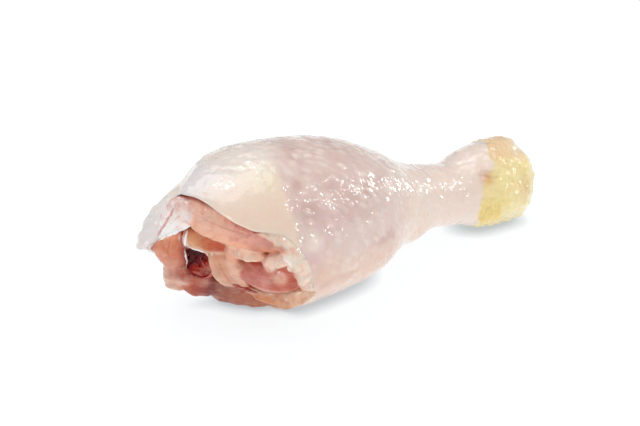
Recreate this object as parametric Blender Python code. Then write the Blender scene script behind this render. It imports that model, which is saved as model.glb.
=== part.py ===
"""A raw chicken drumstick with its hock, lying on its side as it was put down.

The knee end was cut off slantwise. Inside the skin's mouth the cut shows the shin bone with
its marrow, five muscles, the joint's cartilage, soft fat and a white sheath. The other end
was cut through the hock joint, inside the yellow scaly skin.

Lengths are in millimetres in the knee frame: X runs along the leg from the knee to the hock
with 0 at the middle of the belly, +Y is the far side, and Z is up from the floor. finish()
turns them into metres and puts the origin under the middle of the whole leg. Angles round
the leg are in degrees: 0 on top, 90 on the near side (-Y), 180 underneath.
"""

import math

import bmesh
import bpy
import numpy as np
from mathutils import Vector

MM = 0.001
GAP = 0.3                      # clearance between neighbouring solids
CLEAR = 1.3 * GAP              # how much larger a cutter is than its solid, for its flats
SKIN = 1.5                     # thickness of the skin
ORIGIN = (27.147, 0.017, 0.0)  # the knee frame's point that becomes the part's origin

# The leg's outline: x, middle y, middle z, half width, half height.
LEG = (
    (-48, 1.5, 27, 20.0, 20.0),
    (-36, 0.9, 27, 22.9, 22.9),
    (-24, 0.4, 26.6, 25.8, 26.6),
    (-12, 0, 26.9, 27.2, 27.9),
    (0, 0, 26.3, 26.8, 27.3),
    (12, 0, 25.1, 25.2, 26.1),
    (24, 0, 23.4, 22.8, 23.4),
    (36, 0, 22.6, 17.4, 17.4),
    (46, 0, 19.4, 14.0, 14.0),
    (56, 0, 18.2, 11.4, 11.2),
    (66, 0, 15.9, 10.9, 10.9),
    (76, 0, 15.1, 13.6, 13.8),
    (86, 0, 14.7, 14.4, 15.2),
    (92, 0, 14.4, 13.8, 15.0),
    (96, 0, 14.4, 11.8, 13.0),
    (99, 0, 14.2, 7.0, 8.6),
)

# The skin's mouth: angle round the leg, x of the skin's rim, how far the rim lies inside the
# leg's outline, and the x up to which the skin keeps to the outline before it rolls in.
MOUTH = (
    (0, -38.0, 2.4, -38.2), (20, -35.4, 1.2, -35.4), (45, -31.5, 0.8, -31.5), (58, -26.5, 0.6, -26.5),
    (67, -20.0, 0.5, -20.0), (78, -17.0, 0.5, -17.0), (92, -16.2, 0.5, -16.2), (106, -12.5, 1.0, -12.5),
    (122, -7.5, 1.5, -7.5), (142, -6.0, 1.0, -6.0), (162, -9.0, 0.5, -9.0), (182, -13.5, 0.5, -13.5),
    (205, -20.5, 0.5, -20.5), (228, -29.5, 1.0, -30.0), (245, -37.6, 2.4, -40.6),
    (257, -39.8, 4.8, -46.6), (270, -38.8, 7.0, -45.4), (285, -36.8, 8.6, -39.0),
    (300, -36.0, 9.2, -29.0), (320, -35.8, 8.2, -27.0), (340, -36.2, 6.0, -32.0),
)
ROLL = 9.0                     # how far back from there the rim's roll begins
ROLL_SHARE = 0.3               # the roll's share of the skin's rings
RIM_SKIN = 0.9                 # the skin's thickness at its rim
SCALES = 77.5                  # where the smooth skin meets the scaly skin
SCALES_LEAN = (6.0, 30)        # how far that seam leans, and at which angle it reaches furthest
HOCK_RIM = 98.0                # where the scaly skin was cut through
FACING = (-0.74, -0.67, 0.06)  # the way the cut face looks
BEHIND_BONE = (-23.5, 5.5, 18.0)   # the deepest point of the flesh's cut face
FACE_SWELL = 1.6               # how far the face swells between there and its rim
FLESH_IN_ROLL = (0.5, 0.1)     # where the flesh ends in the rim's roll: the share of the roll
                               # that it leaves free, and the extra share per mm of fold

BONE = (                       # the shin bone: x, y, z, radius
    (-30.2, 6.6, 18.3, 5.9),
    (-24, 5.6, 18.6, 5.3),
    (-12, 3.6, 19.2, 4.2),
    (20, 0.8, 19.4, 3.7),
    (50, 0, 17.6, 3.8),
    (68, 0, 15.6, 5.2),
    (82, 0, 14.6, 8.0),
    (92, 0, 14.4, 8.8),
    (96, 0, 14.3, 7.4),
    (98.5, 0, 14.2, 4.4),
)
BONE_SLANT = 0.45              # how far the sawn end turns to the near side
MARROW = ((-29.2, 4.5), (-24, 4.0), (-14, 2.4), (30, 2.0))   # x, radius

# Soft pieces at the cut, each an oval section led along a line: rows of x, y, z, half width
# across the cut face and half depth into the flesh. They are in the order in which they are
# laid: each later one gives way to the earlier ones.
PIECES = {
    "knee_cartilage": (
        (-33.0, 7.2, 28.0, 1.7, 2.4), (-32.2, 3.4, 29.4, 2.2, 3.2), (-30.4, 0.8, 29.0, 2.5, 3.2),
        (-27.4, -1.0, 27.2, 2.2, 2.6), (-24.4, -3.0, 25.6, 1.4, 1.8)),
    "bone_cartilage": (
        (-26.8, 0.4, 23.4, 2.4, 2.4), (-25.5, -0.1, 20.2, 3.2, 3.0), (-23.4, 0.0, 15.8, 3.6, 3.2),
        (-21.0, 0.2, 11.6, 2.5, 2.4)),
    "fat_stem": (
        (-24.9, -5.2, 26.6, 1.3, 1.6), (-24.2, -4.7, 22.8, 1.8, 2.2), (-22.6, -3.4, 18.2, 2.0, 2.4),
        (-20.4, -2.5, 13.6, 1.7, 2.0), (-18.9, -1.3, 9.8, 1.0, 1.2)),
    "fat_roll_inner": (
        (-24.4, -5.0, 25.6, 1.8, 2.0), (-23.4, -8.8, 26.4, 2.6, 2.8), (-21.5, -12.0, 26.4, 2.7, 2.8),
        (-19.6, -13.8, 25.2, 1.8, 2.0)),
    "fat_roll_outer": (
        (-17.8, -13.0, 20.8, 1.6, 1.8), (-18.2, -15.8, 23.8, 2.3, 2.6), (-17.6, -19.6, 26.6, 2.4, 2.6),
        (-15.9, -22.6, 28.2, 2.0, 2.2), (-14.2, -24.0, 28.2, 1.4, 1.6)),
    "fat_lip": (
        (-20.4, 0.0, 11.6, 0.8, 1.2), (-18.2, -3.2, 9.8, 1.2, 1.6), (-15.4, -6.2, 7.8, 1.6, 2.0),
        (-13.0, -9.2, 6.9, 2.2, 2.1), (-10.4, -13.6, 7.5, 2.5, 2.3), (-8.8, -18.0, 10.6, 2.3, 2.1),
        (-8.2, -20.8, 14.0, 1.6, 1.5)),
    "fat_seam": (
        (-20.4, -18.2, 35.2, 1.3, 1.4), (-17.6, -20.6, 33.4, 1.8, 1.8), (-15.2, -22.6, 31.0, 1.9, 1.8),
        (-12.8, -23.2, 26.2, 1.7, 1.8), (-10.4, -23.2, 21.2, 1.4, 1.6)),
    "joint_fat": (
        (-32.4, 13.8, 15.0, 2.2, 2.4), (-33.6, 14.6, 11.6, 3.2, 3.2), (-34.2, 14.4, 8.2, 3.6, 3.2),
        (-32.4, 14.8, 6.0, 2.6, 2.4)),
    "sheath": (
        (-37.3, 0.8, 45.7, 2.0, 1.4), (-37.1, 3.1, 41.0, 3.6, 2.2), (-36.7, 6.9, 34.7, 5.0, 2.6),
        (-35.8, 10.2, 30.1, 5.8, 1.9)),
    "top_muscle": (
        (-35.6, 0.4, 41.0, 3.6, 2.8), (-33.6, -2.8, 40.6, 4.8, 4.0), (-30.7, -6.9, 38.8, 5.0, 4.4),
        (-26.9, -10.2, 35.8, 4.6, 4.2), (-22.6, -13.4, 33.2, 3.8, 3.6), (-18.2, -16.8, 31.0, 3.0, 3.0),
        (-13.5, -20.0, 28.8, 2.0, 2.2)),
    "shin_muscle": (
        (-36.2, 9.8, 30.0, 2.6, 2.4), (-37.0, 12.4, 26.0, 4.6, 4.2), (-36.4, 14.2, 21.0, 4.7, 4.6),
        (-34.0, 15.0, 16.4, 3.6, 3.6), (-31.6, 15.6, 12.4, 2.2, 2.2)),
    "calf_muscle": (
        (-20.8, -4.4, 18.4, 1.8, 2.2), (-19.2, -7.2, 17.4, 3.0, 3.4), (-16.7, -11.0, 16.4, 3.9, 4.2),
        (-13.8, -15.4, 16.7, 3.9, 4.2), (-11.0, -19.4, 17.8, 2.8, 3.2), (-8.2, -21.6, 17.4, 1.6, 2.0)),
    "sole_muscle": (
        (-30.8, 11.8, 9.2, 2.2, 2.4), (-29.2, 11.4, 8.4, 3.6, 3.6), (-26.2, 10.6, 6.8, 3.6, 3.4),
        (-23.2, 9.2, 5.0, 2.4, 2.4)),
    "heel_muscle": (
        (-23.4, 11.0, 4.6, 2.0, 2.0), (-21.4, 7.4, 4.8, 2.6, 2.8), (-18.8, 3.4, 4.7, 2.5, 2.8),
        (-15.6, -1.0, 4.1, 2.1, 2.4), (-12.4, -5.2, 3.6, 1.4, 1.8)),
}

AROUND_LEG, ALONG_SKIN, ALONG_SCALES, ROLL_RINGS, FACE_RINGS = 24, 18, 6, 2, 4
AROUND_BONE, ALONG_BONE = 12, 14
AROUND_PIECE, ALONG_PIECE = 10, 10

LOOKS = {                      # colour and roughness of each tissue
    "skin": ((0.80, 0.66, 0.60), 0.35),
    "scaly_skin": ((0.86, 0.68, 0.30), 0.40),
    "bone": ((0.84, 0.74, 0.66), 0.40),
    "marrow": ((0.22, 0.015, 0.02), 0.30),
    "muscle": ((0.62, 0.26, 0.20), 0.30),
    "fat": ((0.84, 0.62, 0.46), 0.30),
    "cartilage": ((0.72, 0.50, 0.36), 0.30),
    "sheath": ((0.80, 0.74, 0.72), 0.25),
}
TISSUES = {
    "skin": "skin", "hock_skin": "scaly_skin", "bone": "bone", "marrow": "marrow",
    "flesh": "muscle", "knee_cartilage": "cartilage", "bone_cartilage": "cartilage",
    "fat_stem": "fat", "fat_roll_inner": "fat", "fat_roll_outer": "fat", "fat_lip": "fat",
    "fat_seam": "fat", "joint_fat": "fat", "sheath": "sheath", "top_muscle": "muscle",
    "shin_muscle": "muscle", "calf_muscle": "muscle", "sole_muscle": "muscle",
    "heel_muscle": "muscle",
}


def eased(table, x):
    """The table's columns at x, on smooth curves that don't overshoot its rows."""
    rows = np.array(table, float)
    xs, ys = rows[:, 0], rows[:, 1:]
    x = min(max(x, xs[0]), xs[-1])
    slopes = np.diff(ys, axis=0) / np.diff(xs)[:, None]
    before, after = slopes[:-1], slopes[1:]
    same_way = before * after > 0
    middle = np.where(same_way, 2 * before * after / np.where(same_way, before + after, 1), 0)
    tangents = np.vstack([slopes[:1], middle, slopes[-1:]])
    i = min(int(np.searchsorted(xs, x, side="right")) - 1, len(xs) - 2)
    step = xs[i + 1] - xs[i]
    t = (x - xs[i]) / step
    return (
        (2 * t**3 - 3 * t**2 + 1) * ys[i]
        + (t**3 - 2 * t**2 + t) * step * tangents[i]
        + (3 * t**2 - 2 * t**3) * ys[i + 1]
        + (t**3 - t**2) * step * tangents[i + 1]
    )


def mouth(angle):
    """The rim's x, its inset and the roll's x at an angle round the leg, in radians."""
    before = [(row[0] - 360, *row[1:]) for row in MOUTH[-2:]]
    after = [(row[0] + 360, *row[1:]) for row in MOUTH[:2]]
    return eased([*before, *MOUTH, *after], math.degrees(angle) % 360)


def leg_point(x, angle, inset=0.0):
    """A point of the leg's outline at x, moved inwards by inset. The outline is pressed flat
    where it would pass through the floor."""
    y, z, half_width, half_height = eased(LEG, x)
    return Vector((
        x,
        y - (half_width - inset) * math.sin(angle),
        max(inset, z + (half_height - inset) * math.cos(angle)),
    ))


def seam(angle):
    """The x at which the scaly skin begins."""
    reach, furthest = SCALES_LEAN
    return SCALES + reach * math.cos(angle + math.radians(furthest))


def skin_point(angle, t, depth):
    """A point in or under the smooth skin, at a depth below its surface. t runs from 0 at the
    rim, round the rim's roll, to 1 where the scales begin."""
    rim_x, rim_inset, roll_x = mouth(angle)
    start, end = roll_x + ROLL, seam(angle) - GAP / 2
    if t >= ROLL_SHARE:
        return leg_point(start + (end - start) * (t - ROLL_SHARE) / (1 - ROLL_SHARE), angle, depth)
    w = t / ROLL_SHARE
    bends = np.array(((rim_x, rim_inset), (roll_x, rim_inset), (roll_x, 0), (start, 0)))
    x, inset = (
        (1 - w) ** 3 * bends[0] + 3 * w * (1 - w) ** 2 * bends[1]
        + 3 * w**2 * (1 - w) * bends[2] + w**3 * bends[3]
    )
    along, inwards = (
        (1 - w) ** 2 * (bends[1] - bends[0]) + 2 * w * (1 - w) * (bends[2] - bends[1])
        + w**2 * (bends[3] - bends[2])
    )
    length = math.hypot(along, inwards) or 1
    return leg_point(x - depth * inwards / length, angle, inset + depth * along / length)


def hock_point(angle, t, depth):
    """A point in or under the scaly skin. t runs from 0 at the smooth skin to 1 at its end."""
    start = seam(angle) + GAP / 2
    return leg_point(start + (HOCK_RIM - start) * t, angle, depth)


def turn(v):
    return 2 * math.pi * v


def to_object(name, bm):
    mesh = bpy.data.meshes.new(name)
    bm.to_mesh(mesh)
    bm.free()
    obj = bpy.data.objects.new(name, mesh)
    bpy.context.scene.collection.objects.link(obj)
    return obj


def from_grid(name, along, around, place):
    """A closed body: a grid wrapped round by place(u, v), with u and v from 0 to 1 and v
    going round. place brings the two ends to a point, or u back to where it started."""
    bm = bmesh.new()
    bmesh.ops.create_grid(bm, x_segments=along, y_segments=around, size=0.5)
    for vert in bm.verts:
        vert.co = place(vert.co.x + 0.5, vert.co.y + 0.5) * MM
    bmesh.ops.remove_doubles(bm, verts=bm.verts, dist=0.001 * MM)
    bmesh.ops.dissolve_degenerate(bm, edges=bm.edges, dist=0.001 * MM)
    bmesh.ops.triangulate(bm, faces=bm.faces, quad_method="FIXED")
    bmesh.ops.recalc_face_normals(bm, faces=bm.faces)
    if bm.calc_volume(signed=True) < 0:
        bmesh.ops.reverse_faces(bm, faces=bm.faces)
    return to_object(name, bm)


def wall(name, along, place, margin=0.0):
    """A sleeve as thick as the skin, and thicker by a margin on both sides. place(angle, t,
    depth) is a point of it, with t from 0 to 1 between its rims."""
    rings = 2 * along + 2                      # the outside, back up the inside, and shut

    def point(u, v):
        ring = round(rings * u) % rings
        outside = ring <= along
        t = (ring if outside else rings - 1 - ring) / along
        return place(turn(v), t, -margin if outside else skin_thickness(name, t) + margin)

    return from_grid(name, rings, AROUND_LEG, point)


def skin_thickness(name, t):
    """The smooth skin thins towards its rim; the scaly skin doesn't."""
    thinning = max(0.0, 1 - t / ROLL_SHARE) if name == "skin" else 0
    return SKIN + (RIM_SKIN - SKIN) * thinning


def make_skin(margin=0.0):
    return wall("skin", ALONG_SKIN, skin_point, margin)


def make_hock_skin():
    return wall("hock_skin", ALONG_SCALES, hock_point)


def make_flesh():
    """The flesh inside the skin, in the skin's own rings as far as its roll: a flat end in the
    hock, the wall, and the cut face, which falls back from its rim to behind the bone."""
    depth = SKIN + CLEAR
    deepest = Vector(BEHIND_BONE)
    hock_middle = Vector((HOCK_RIM - 2.0, *eased(LEG, HOCK_RIM)[:2]))
    skin_rings = round(ALONG_SKIN * (1 - ROLL_SHARE)) + 1
    rings = ALONG_SCALES + skin_rings + ROLL_RINGS + FACE_RINGS

    def rim(angle, share):
        """A point on the way round the roll. Under a rim that folds back, the flesh stops
        where the fold begins."""
        rim_x, _, roll_x = mouth(angle)
        free, per_fold = FLESH_IN_ROLL
        end = min(1.0, free + per_fold * max(0.0, rim_x - roll_x))
        return skin_point(angle, ROLL_SHARE * (1 + (end - 1) * share), depth + CLEAR * share)

    def place(u, v):
        ring = round(u * rings) - 1
        if ring < 0:
            return hock_middle
        angle = turn(v)
        if ring < ALONG_SCALES:
            return hock_point(angle, 1 - (ring + 1) / ALONG_SCALES, depth)
        ring -= ALONG_SCALES
        if ring < skin_rings:
            return skin_point(angle, 1 - ring / ALONG_SKIN, depth)
        ring -= skin_rings
        if ring < ROLL_RINGS:
            return rim(angle, (ring + 1) / ROLL_RINGS)
        inwards = (ring - ROLL_RINGS + 1) / FACE_RINGS
        swell = FACE_SWELL * math.sin(math.pi * inwards)
        return rim(angle, 1).lerp(deepest, inwards) + Vector(FACING) * swell

    return from_grid("flesh", rings, AROUND_LEG, place)


def rod(name, path, slant=0.0):
    """A round rod with flat ends along path, whose rows are x, y, z and radius. Its first
    end may slant."""
    low, high = path[0][0], path[-1][0]
    crowding = 1.6             # brings the rings closer together towards the first end

    def place(u, v):
        ring = round(u * ALONG_BONE)
        t = min(max((ring - 1) / (ALONG_BONE - 2), 0), 1) ** crowding
        x = low + (high - low) * t
        y, z, radius = eased(path, x)
        if ring in (0, ALONG_BONE):
            radius = 0
        angle = turn(v)
        aside = -radius * math.sin(angle)
        return Vector((x - slant * (1 - t) ** 6 * aside, y + aside, z + radius * math.cos(angle)))

    return from_grid(name, ALONG_BONE, AROUND_BONE, place)


def make_bone(margin=0.0):
    first, *others = ((*row[:3], row[3] + margin) for row in BONE)
    return rod("bone", [(first[0] - margin, *first[1:]), *others], BONE_SLANT)


def along_bone(rows):
    return [(x, *eased(BONE, x)[:2], radius) for x, radius in rows]


def make_canal():
    """A cutter for the bone's hollow, open at the saw cut."""
    beyond = 3.0
    rows = [(x, radius + GAP) for x, radius in MARROW]
    rows[-1] = (MARROW[-1][0] + GAP, rows[-1][1])
    return rod("canal", along_bone([(BONE[0][0] - beyond, rows[0][1]), *rows]), BONE_SLANT)


def make_marrow():
    return rod("marrow", along_bone(MARROW), BONE_SLANT)


def spline(points, t):
    """A point at t, from 0 to 1, on a smooth curve through the points."""
    last = len(points) - 1
    i = min(int(t * last), last - 1)
    f = t * last - i
    p1, p2 = points[i], points[i + 1]
    p0 = points[i - 1] if i else p1 + (p1 - p2)
    p3 = points[i + 2] if i + 2 <= last else p2 + (p2 - p1)
    return 0.5 * (
        2 * p1 + (p2 - p0) * f + (2 * p0 - 5 * p1 + 4 * p2 - p3) * f**2
        + (3 * p1 - p0 - 3 * p2 + p3) * f**3
    )


def make_piece(name, margin=0.0):
    """A soft piece: an oval section led along its line, with blunt rounded ends."""
    rows = np.array(PIECES[name], float)
    facing = Vector(FACING)
    step = 0.02                # along the line, to find its direction
    bluntness = 6              # of the ends: the higher, the blunter
    end_length = 0.6           # of the half width, beyond the line's ends

    def place(u, v):
        to_end = abs(2 * u - 1)
        row = spline(rows, u)
        ahead = Vector((spline(rows, min(u + step, 1)) - spline(rows, max(u - step, 0)))[:3]).normalized()
        across = ahead.cross(facing).normalized()
        out = across.cross(ahead)
        half_width, half_depth = (row[3:] + margin) * math.sqrt(1 - to_end**bluntness)
        overhang = (row[3] * end_length + margin) * math.copysign(to_end**bluntness, 2 * u - 1)
        angle = turn(v)
        return (
            Vector(row[:3]) + ahead * overhang
            + across * half_width * math.cos(angle) + out * half_depth * math.sin(angle)
        )

    return from_grid(name, ALONG_PIECE, AROUND_PIECE, place)


def carve(obj, cutters):
    """Cuts the cutters away from obj, removes them and keeps the largest body that is left."""
    for cutter in cutters:
        boolean = obj.modifiers.new("Carve", "BOOLEAN")
        boolean.operation = "DIFFERENCE"
        boolean.solver = "MANIFOLD"        # the exact solver leaves open edges between lobes
        boolean.object = cutter
    graph = bpy.context.evaluated_depsgraph_get()
    mesh = bpy.data.meshes.new_from_object(obj.evaluated_get(graph))
    obj.modifiers.clear()
    obj.data = mesh
    for cutter in cutters:
        bpy.data.objects.remove(cutter)
    bm = bmesh.new()
    bm.from_mesh(mesh)
    bmesh.ops.triangulate(bm, faces=bm.faces)
    bodies = sorted(connected(bm), key=len)
    for crumb in bodies[:-1]:
        bmesh.ops.delete(bm, geom=crumb, context="VERTS")
    bm.to_mesh(mesh)
    bm.free()


def connected(bm):
    """The vertices of each separate body."""
    bodies, seen = [], set()
    for first in bm.verts:
        if first in seen:
            continue
        seen.add(first)
        body = [first]
        for vert in body:
            for edge in vert.link_edges:
                other = edge.other_vert(vert)
                if other not in seen:
                    seen.add(other)
                    body.append(other)
        bodies.append(body)
    return bodies


def material(tissue):
    if tissue in bpy.data.materials:
        return bpy.data.materials[tissue]
    colour, roughness = LOOKS[tissue]
    made = bpy.data.materials.new(tissue)
    made.use_nodes = True
    shader = made.node_tree.nodes["Principled BSDF"]
    shader.inputs["Base Color"].default_value = (*colour, 1)
    shader.inputs["Roughness"].default_value = roughness
    shader.inputs["Metallic"].default_value = 0
    return made


def finish(nodes):
    """Moves the nodes to the part's origin, and gives each the colour of its tissue."""
    shift = Vector(ORIGIN) * -MM
    for obj in nodes:
        for vert in obj.data.vertices:
            vert.co += shift
        obj.data.materials.clear()
        obj.data.materials.append(material(TISSUES[obj.name]))
        obj.data.shade_smooth()


def main():
    for obj in list(bpy.data.objects):
        bpy.data.objects.remove(obj)
    skin, bone, marrow, flesh = make_skin(), make_bone(), make_marrow(), make_flesh()
    pieces = []
    for i, name in enumerate(PIECES):
        piece = make_piece(name)
        earlier = [make_piece(other, CLEAR) for other in list(PIECES)[:i]]
        carve(piece, [make_skin(CLEAR), make_bone(CLEAR), *earlier])
        pieces.append(piece)
    carve(flesh, [make_bone(CLEAR), *(make_piece(name, CLEAR) for name in PIECES)])
    carve(bone, [make_canal()])
    finish([skin, make_hock_skin(), bone, marrow, flesh, *pieces])


main()
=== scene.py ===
import math

import bmesh
import bpy
import numpy as np
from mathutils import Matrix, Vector
from mathutils.bvhtree import BVHTree
from mathutils.kdtree import KDTree


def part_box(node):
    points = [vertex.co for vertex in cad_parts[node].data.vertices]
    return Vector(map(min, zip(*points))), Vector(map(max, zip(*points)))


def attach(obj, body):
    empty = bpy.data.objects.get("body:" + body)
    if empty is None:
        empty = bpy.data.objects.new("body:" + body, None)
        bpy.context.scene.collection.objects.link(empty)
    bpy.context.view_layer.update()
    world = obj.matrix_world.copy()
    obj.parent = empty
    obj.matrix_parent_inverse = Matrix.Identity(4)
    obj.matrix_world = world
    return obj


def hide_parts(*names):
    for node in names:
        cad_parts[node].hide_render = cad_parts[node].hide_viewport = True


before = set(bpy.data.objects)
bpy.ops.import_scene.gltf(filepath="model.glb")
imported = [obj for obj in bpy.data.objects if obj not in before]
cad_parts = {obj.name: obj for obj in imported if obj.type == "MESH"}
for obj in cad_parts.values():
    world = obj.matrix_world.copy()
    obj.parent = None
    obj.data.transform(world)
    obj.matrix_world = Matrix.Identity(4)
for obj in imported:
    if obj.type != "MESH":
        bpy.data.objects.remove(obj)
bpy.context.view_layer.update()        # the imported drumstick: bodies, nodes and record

print("frame loaded,", len(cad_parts), "nodes")

# The leg's own measure: millimetres, x along the leg from the knee to the hock with 0 at the
# belly's middle, y to the far side, z up. Angles round the leg are in degrees: 0 on top, 90 on
# the near side, 180 underneath.
mm = 0.001
boneTip = 98.5                                   # x of the bone's end in the hock
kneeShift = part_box("bone")[1].x / mm - boneTip   # from the leg's measure to the frame's
facing = np.array((-0.74, -0.67, 0.06))          # the way the cut face looks


# Curves, and noise that is the same at each run

def smooth(low, high, x):
    t = np.clip((x - low) / (high - low), 0, 1)
    return t * t * (3 - 2 * t)


def hump(x, middle, width):
    return np.exp(-((x - middle) / width) ** 2)


def angleFrom(angle, middle):
    return (angle - middle + 180) % 360 - 180    # signed degrees from the middle


def humpRound(angle, middle, width):
    return hump(angleFrom(angle, middle), 0, width)


def unit(a):
    return a / np.maximum(np.linalg.norm(a, axis=-1, keepdims=True), 1e-9)


def eased(rows, x):
    # smooth curves through the rows' columns, with no overshoot; x is the first column
    rows = np.array(rows, float)
    xs, ys = rows[:, 0], rows[:, 1:]
    x = np.clip(x, xs[0], xs[-1])
    slopes = np.diff(ys, axis=0) / np.diff(xs)[:, None]
    product, total = slopes[:-1] * slopes[1:], slopes[:-1] + slopes[1:]
    middle = np.where(product > 0, 2 * product / np.where(product > 0, total, 1), 0)
    tangents = np.vstack([slopes[:1], middle, slopes[-1:]])
    i = np.clip(np.searchsorted(xs, x, side="right") - 1, 0, len(xs) - 2)
    step = (xs[i + 1] - xs[i])[:, None]
    t = (x - xs[i])[:, None] / step
    return ((2 * t**3 - 3 * t**2 + 1) * ys[i] + (t**3 - 2 * t**2 + t) * step * tangents[i]
            + (3 * t**2 - 2 * t**3) * ys[i + 1] + (t**3 - t**2) * step * tangents[i + 1])


def splined(rows, u):
    # the rows' columns at u, from 0 to 1, on a smooth line through them
    rows = np.array(rows, float)
    rows = np.vstack([2 * rows[0] - rows[1], rows, 2 * rows[-1] - rows[-2]])
    last = len(rows) - 3
    i = np.minimum((u * last).astype(int), last - 1)
    f = (u * last - i)[:, None]
    a, b, c, d = rows[i], rows[i + 1], rows[i + 2], rows[i + 3]
    return 0.5 * (2 * b + (c - a) * f + (2 * a - 5 * b + 4 * c - d) * f**2
                  + (3 * b - a - 3 * c + d) * f**3)


def scatter(cell, seed):
    # an even random number from 0 to 1 for each whole-number cell, mixed by large primes
    n = cell[:, 0] * 73856093 ^ cell[:, 1] * 19349663 ^ cell[:, 2] * 83492791 ^ seed * 40503
    n = (n ^ (n >> 13)) * 1274126177
    return ((n ^ (n >> 16)) & 0xffff) / 0xffff


def softNoise(points, size, seed=1):
    # rolling noise from -1 to 1, with humps of about that size in mm
    q = points / np.asarray(size, float)
    cell = np.floor(q).astype(np.int64)
    f = q - cell
    f = f * f * (3 - 2 * f)
    total = 0
    for corner in np.ndindex(2, 2, 2):
        share = np.prod(np.where(corner, f, 1 - f), axis=1)
        total = total + share * scatter(cell + np.array(corner), seed)
    return total * 2 - 1


def roughNoise(points, size, seed=1, layers=3):
    size = np.asarray(size, float)
    return sum(softNoise(points, size / 2**k, seed + k) / 2**k for k in range(layers)) / 1.5


def beads(points, size, seed=1):
    # how near a point is to the middle of a scattered bead: 1 in the middle, 0 from half a size
    q = points / np.asarray(size, float)
    cell = np.floor(q).astype(np.int64)
    nearest = np.full(len(q), 9.0)
    for corner in np.ndindex(3, 3, 3):
        c = cell + np.array(corner) - 1
        jitter = np.stack([scatter(c, seed + k) for k in range(3)], -1) * 0.84 + 0.08
        nearest = np.minimum(nearest, np.linalg.norm(c + jitter - q, axis=1))
    return np.clip(1 - nearest / 0.6, 0, 1)


# Meshes

def readPoints(mesh):
    flat = np.empty(len(mesh.vertices) * 3)
    mesh.vertices.foreach_get("co", flat)
    return flat.reshape(-1, 3)


def legPoints(piece):
    return readPoints(piece.data) / mm - (kneeShift, 0, 0)


def writeLegPoints(mesh, points):
    mesh.vertices.foreach_set("co", ((points + (kneeShift, 0, 0)) * mm).ravel())
    mesh.update()


def setField(mesh, name, values):
    kind, key = ("FLOAT_VECTOR", "vector") if values.ndim == 2 else ("FLOAT", "value")
    field = mesh.attributes.get(name) or mesh.attributes.new(name, kind, "POINT")
    field.data.foreach_set(key, values.astype(np.float32).ravel())


def getField(piece, name):
    field = piece.data.attributes[name]
    wide, key = (3, "vector") if field.data_type == "FLOAT_VECTOR" else (1, "value")
    flat = np.empty(len(field.data) * wide, np.float32)
    field.data.foreach_get(key, flat)
    return flat.reshape(-1, 3).astype(float) if wide == 3 else flat.astype(float)


def meshFrom(bm, name):
    mesh = bpy.data.meshes.new(name)
    bm.to_mesh(mesh)
    bm.free()
    return mesh


def addObject(name, data):
    made = bpy.data.objects.new(name, data)
    bpy.context.scene.collection.objects.link(made)
    return made


def closeSeams(mesh):
    # joins the grid's edges where they meet and turns the faces outwards
    samePlace, noLength = 0.002 * mm, 0.0005 * mm
    bm = bmesh.new()
    bm.from_mesh(mesh)
    bmesh.ops.remove_doubles(bm, verts=bm.verts, dist=samePlace)
    bmesh.ops.dissolve_degenerate(bm, edges=bm.edges, dist=noLength)
    if bm.calc_volume(signed=True) < 0:
        bmesh.ops.reverse_faces(bm, faces=bm.faces)
    bm.to_mesh(mesh)
    bm.free()
    mesh.shade_smooth()


def wrappedGrid(name, rings, around, place):
    # a fine grid laid round a form. place(u, v) takes and gives arrays: points in mm and the
    # fields that the material reads
    bm = bmesh.new()
    bmesh.ops.create_grid(bm, x_segments=rings, y_segments=around, size=0.5)
    mesh = meshFrom(bm, name)
    flat = readPoints(mesh)
    points, fields = place(flat[:, 0] + 0.5, flat[:, 1] + 0.5)
    writeLegPoints(mesh, points)
    for field, values in fields.items():
        setField(mesh, field, values)
    closeSeams(mesh)
    return addObject(name, mesh)


def sculpt(piece, push):
    # moves each point along its normal by push(points) in mm, and never into the floor
    mesh = piece.data
    normals = np.empty(len(mesh.vertices) * 3)
    mesh.vertex_normals.foreach_get("vector", normals)
    normals = normals.reshape(-1, 3)
    points = legPoints(piece)
    points = points + normals * push(points)[:, None]
    points[:, 2] = np.maximum(points[:, 2], 0)
    writeLegPoints(mesh, points)


def finishPiece(piece, material, slot, *nodes):
    # nodes are the solids that the piece stands for
    piece.data.materials.clear()
    piece.data.materials.append(material)
    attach(piece, "root")
    if nodes:
        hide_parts(*nodes)


# Materials

def colour(hexCode, alpha=1):
    srgb = [int(hexCode[i:i + 2], 16) / 255 for i in (1, 3, 5)]
    return (*(c / 12.92 if c <= 0.04045 else ((c + 0.055) / 1.055) ** 2.4 for c in srgb), alpha)


def addNode(material, kind, settings, links={}):
    # one node: settings are its properties, socket values or a ramp's stops, and each link comes
    # from a socket, or from a node's first one
    tree = material.node_tree
    made = tree.nodes.new("ShaderNode" + kind)
    for key, value in settings.items():
        if key == "stops":
            ramp = made.color_ramp
            while len(ramp.elements) < len(value):
                ramp.elements.new(1)
            for element, (position, shade) in zip(ramp.elements, value):
                element.position = position
                element.color = colour(shade) if isinstance(shade, str) else (shade,) * 3 + (1,)
        elif isinstance(key, int) or key in made.inputs:
            made.inputs[key].default_value = value
        else:
            setattr(made, key, value)
    for key, source in links.items():
        if isinstance(source, bpy.types.Node):
            source = source.outputs[0]
        tree.links.new(source, made.inputs[key])
    return made


def newMaterial(name):
    material = bpy.data.materials.new(name)
    material.use_nodes = True
    material.node_tree.nodes.clear()
    return material


# Raw wet tissue: light sinks in and comes back warm, and a film of water lies on top. These are
# the values that hold unless a tissue's own say otherwise.
wetUsual = {
    "ior": 1.38, "warmth": (1.0, 0.38, 0.25), "filmIor": 1.5, "gloss": 0.25, "rough": (0.28, 0.46),
    "bump": 0.3, "bumpDepth": 0.3, "film": 1.0, "filmRoughness": 0.08, "ripple": 0.6,
    "rippleDepth": 0.7, "wetDetail": 1.0, "unevenness": 0.3,
}


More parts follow.
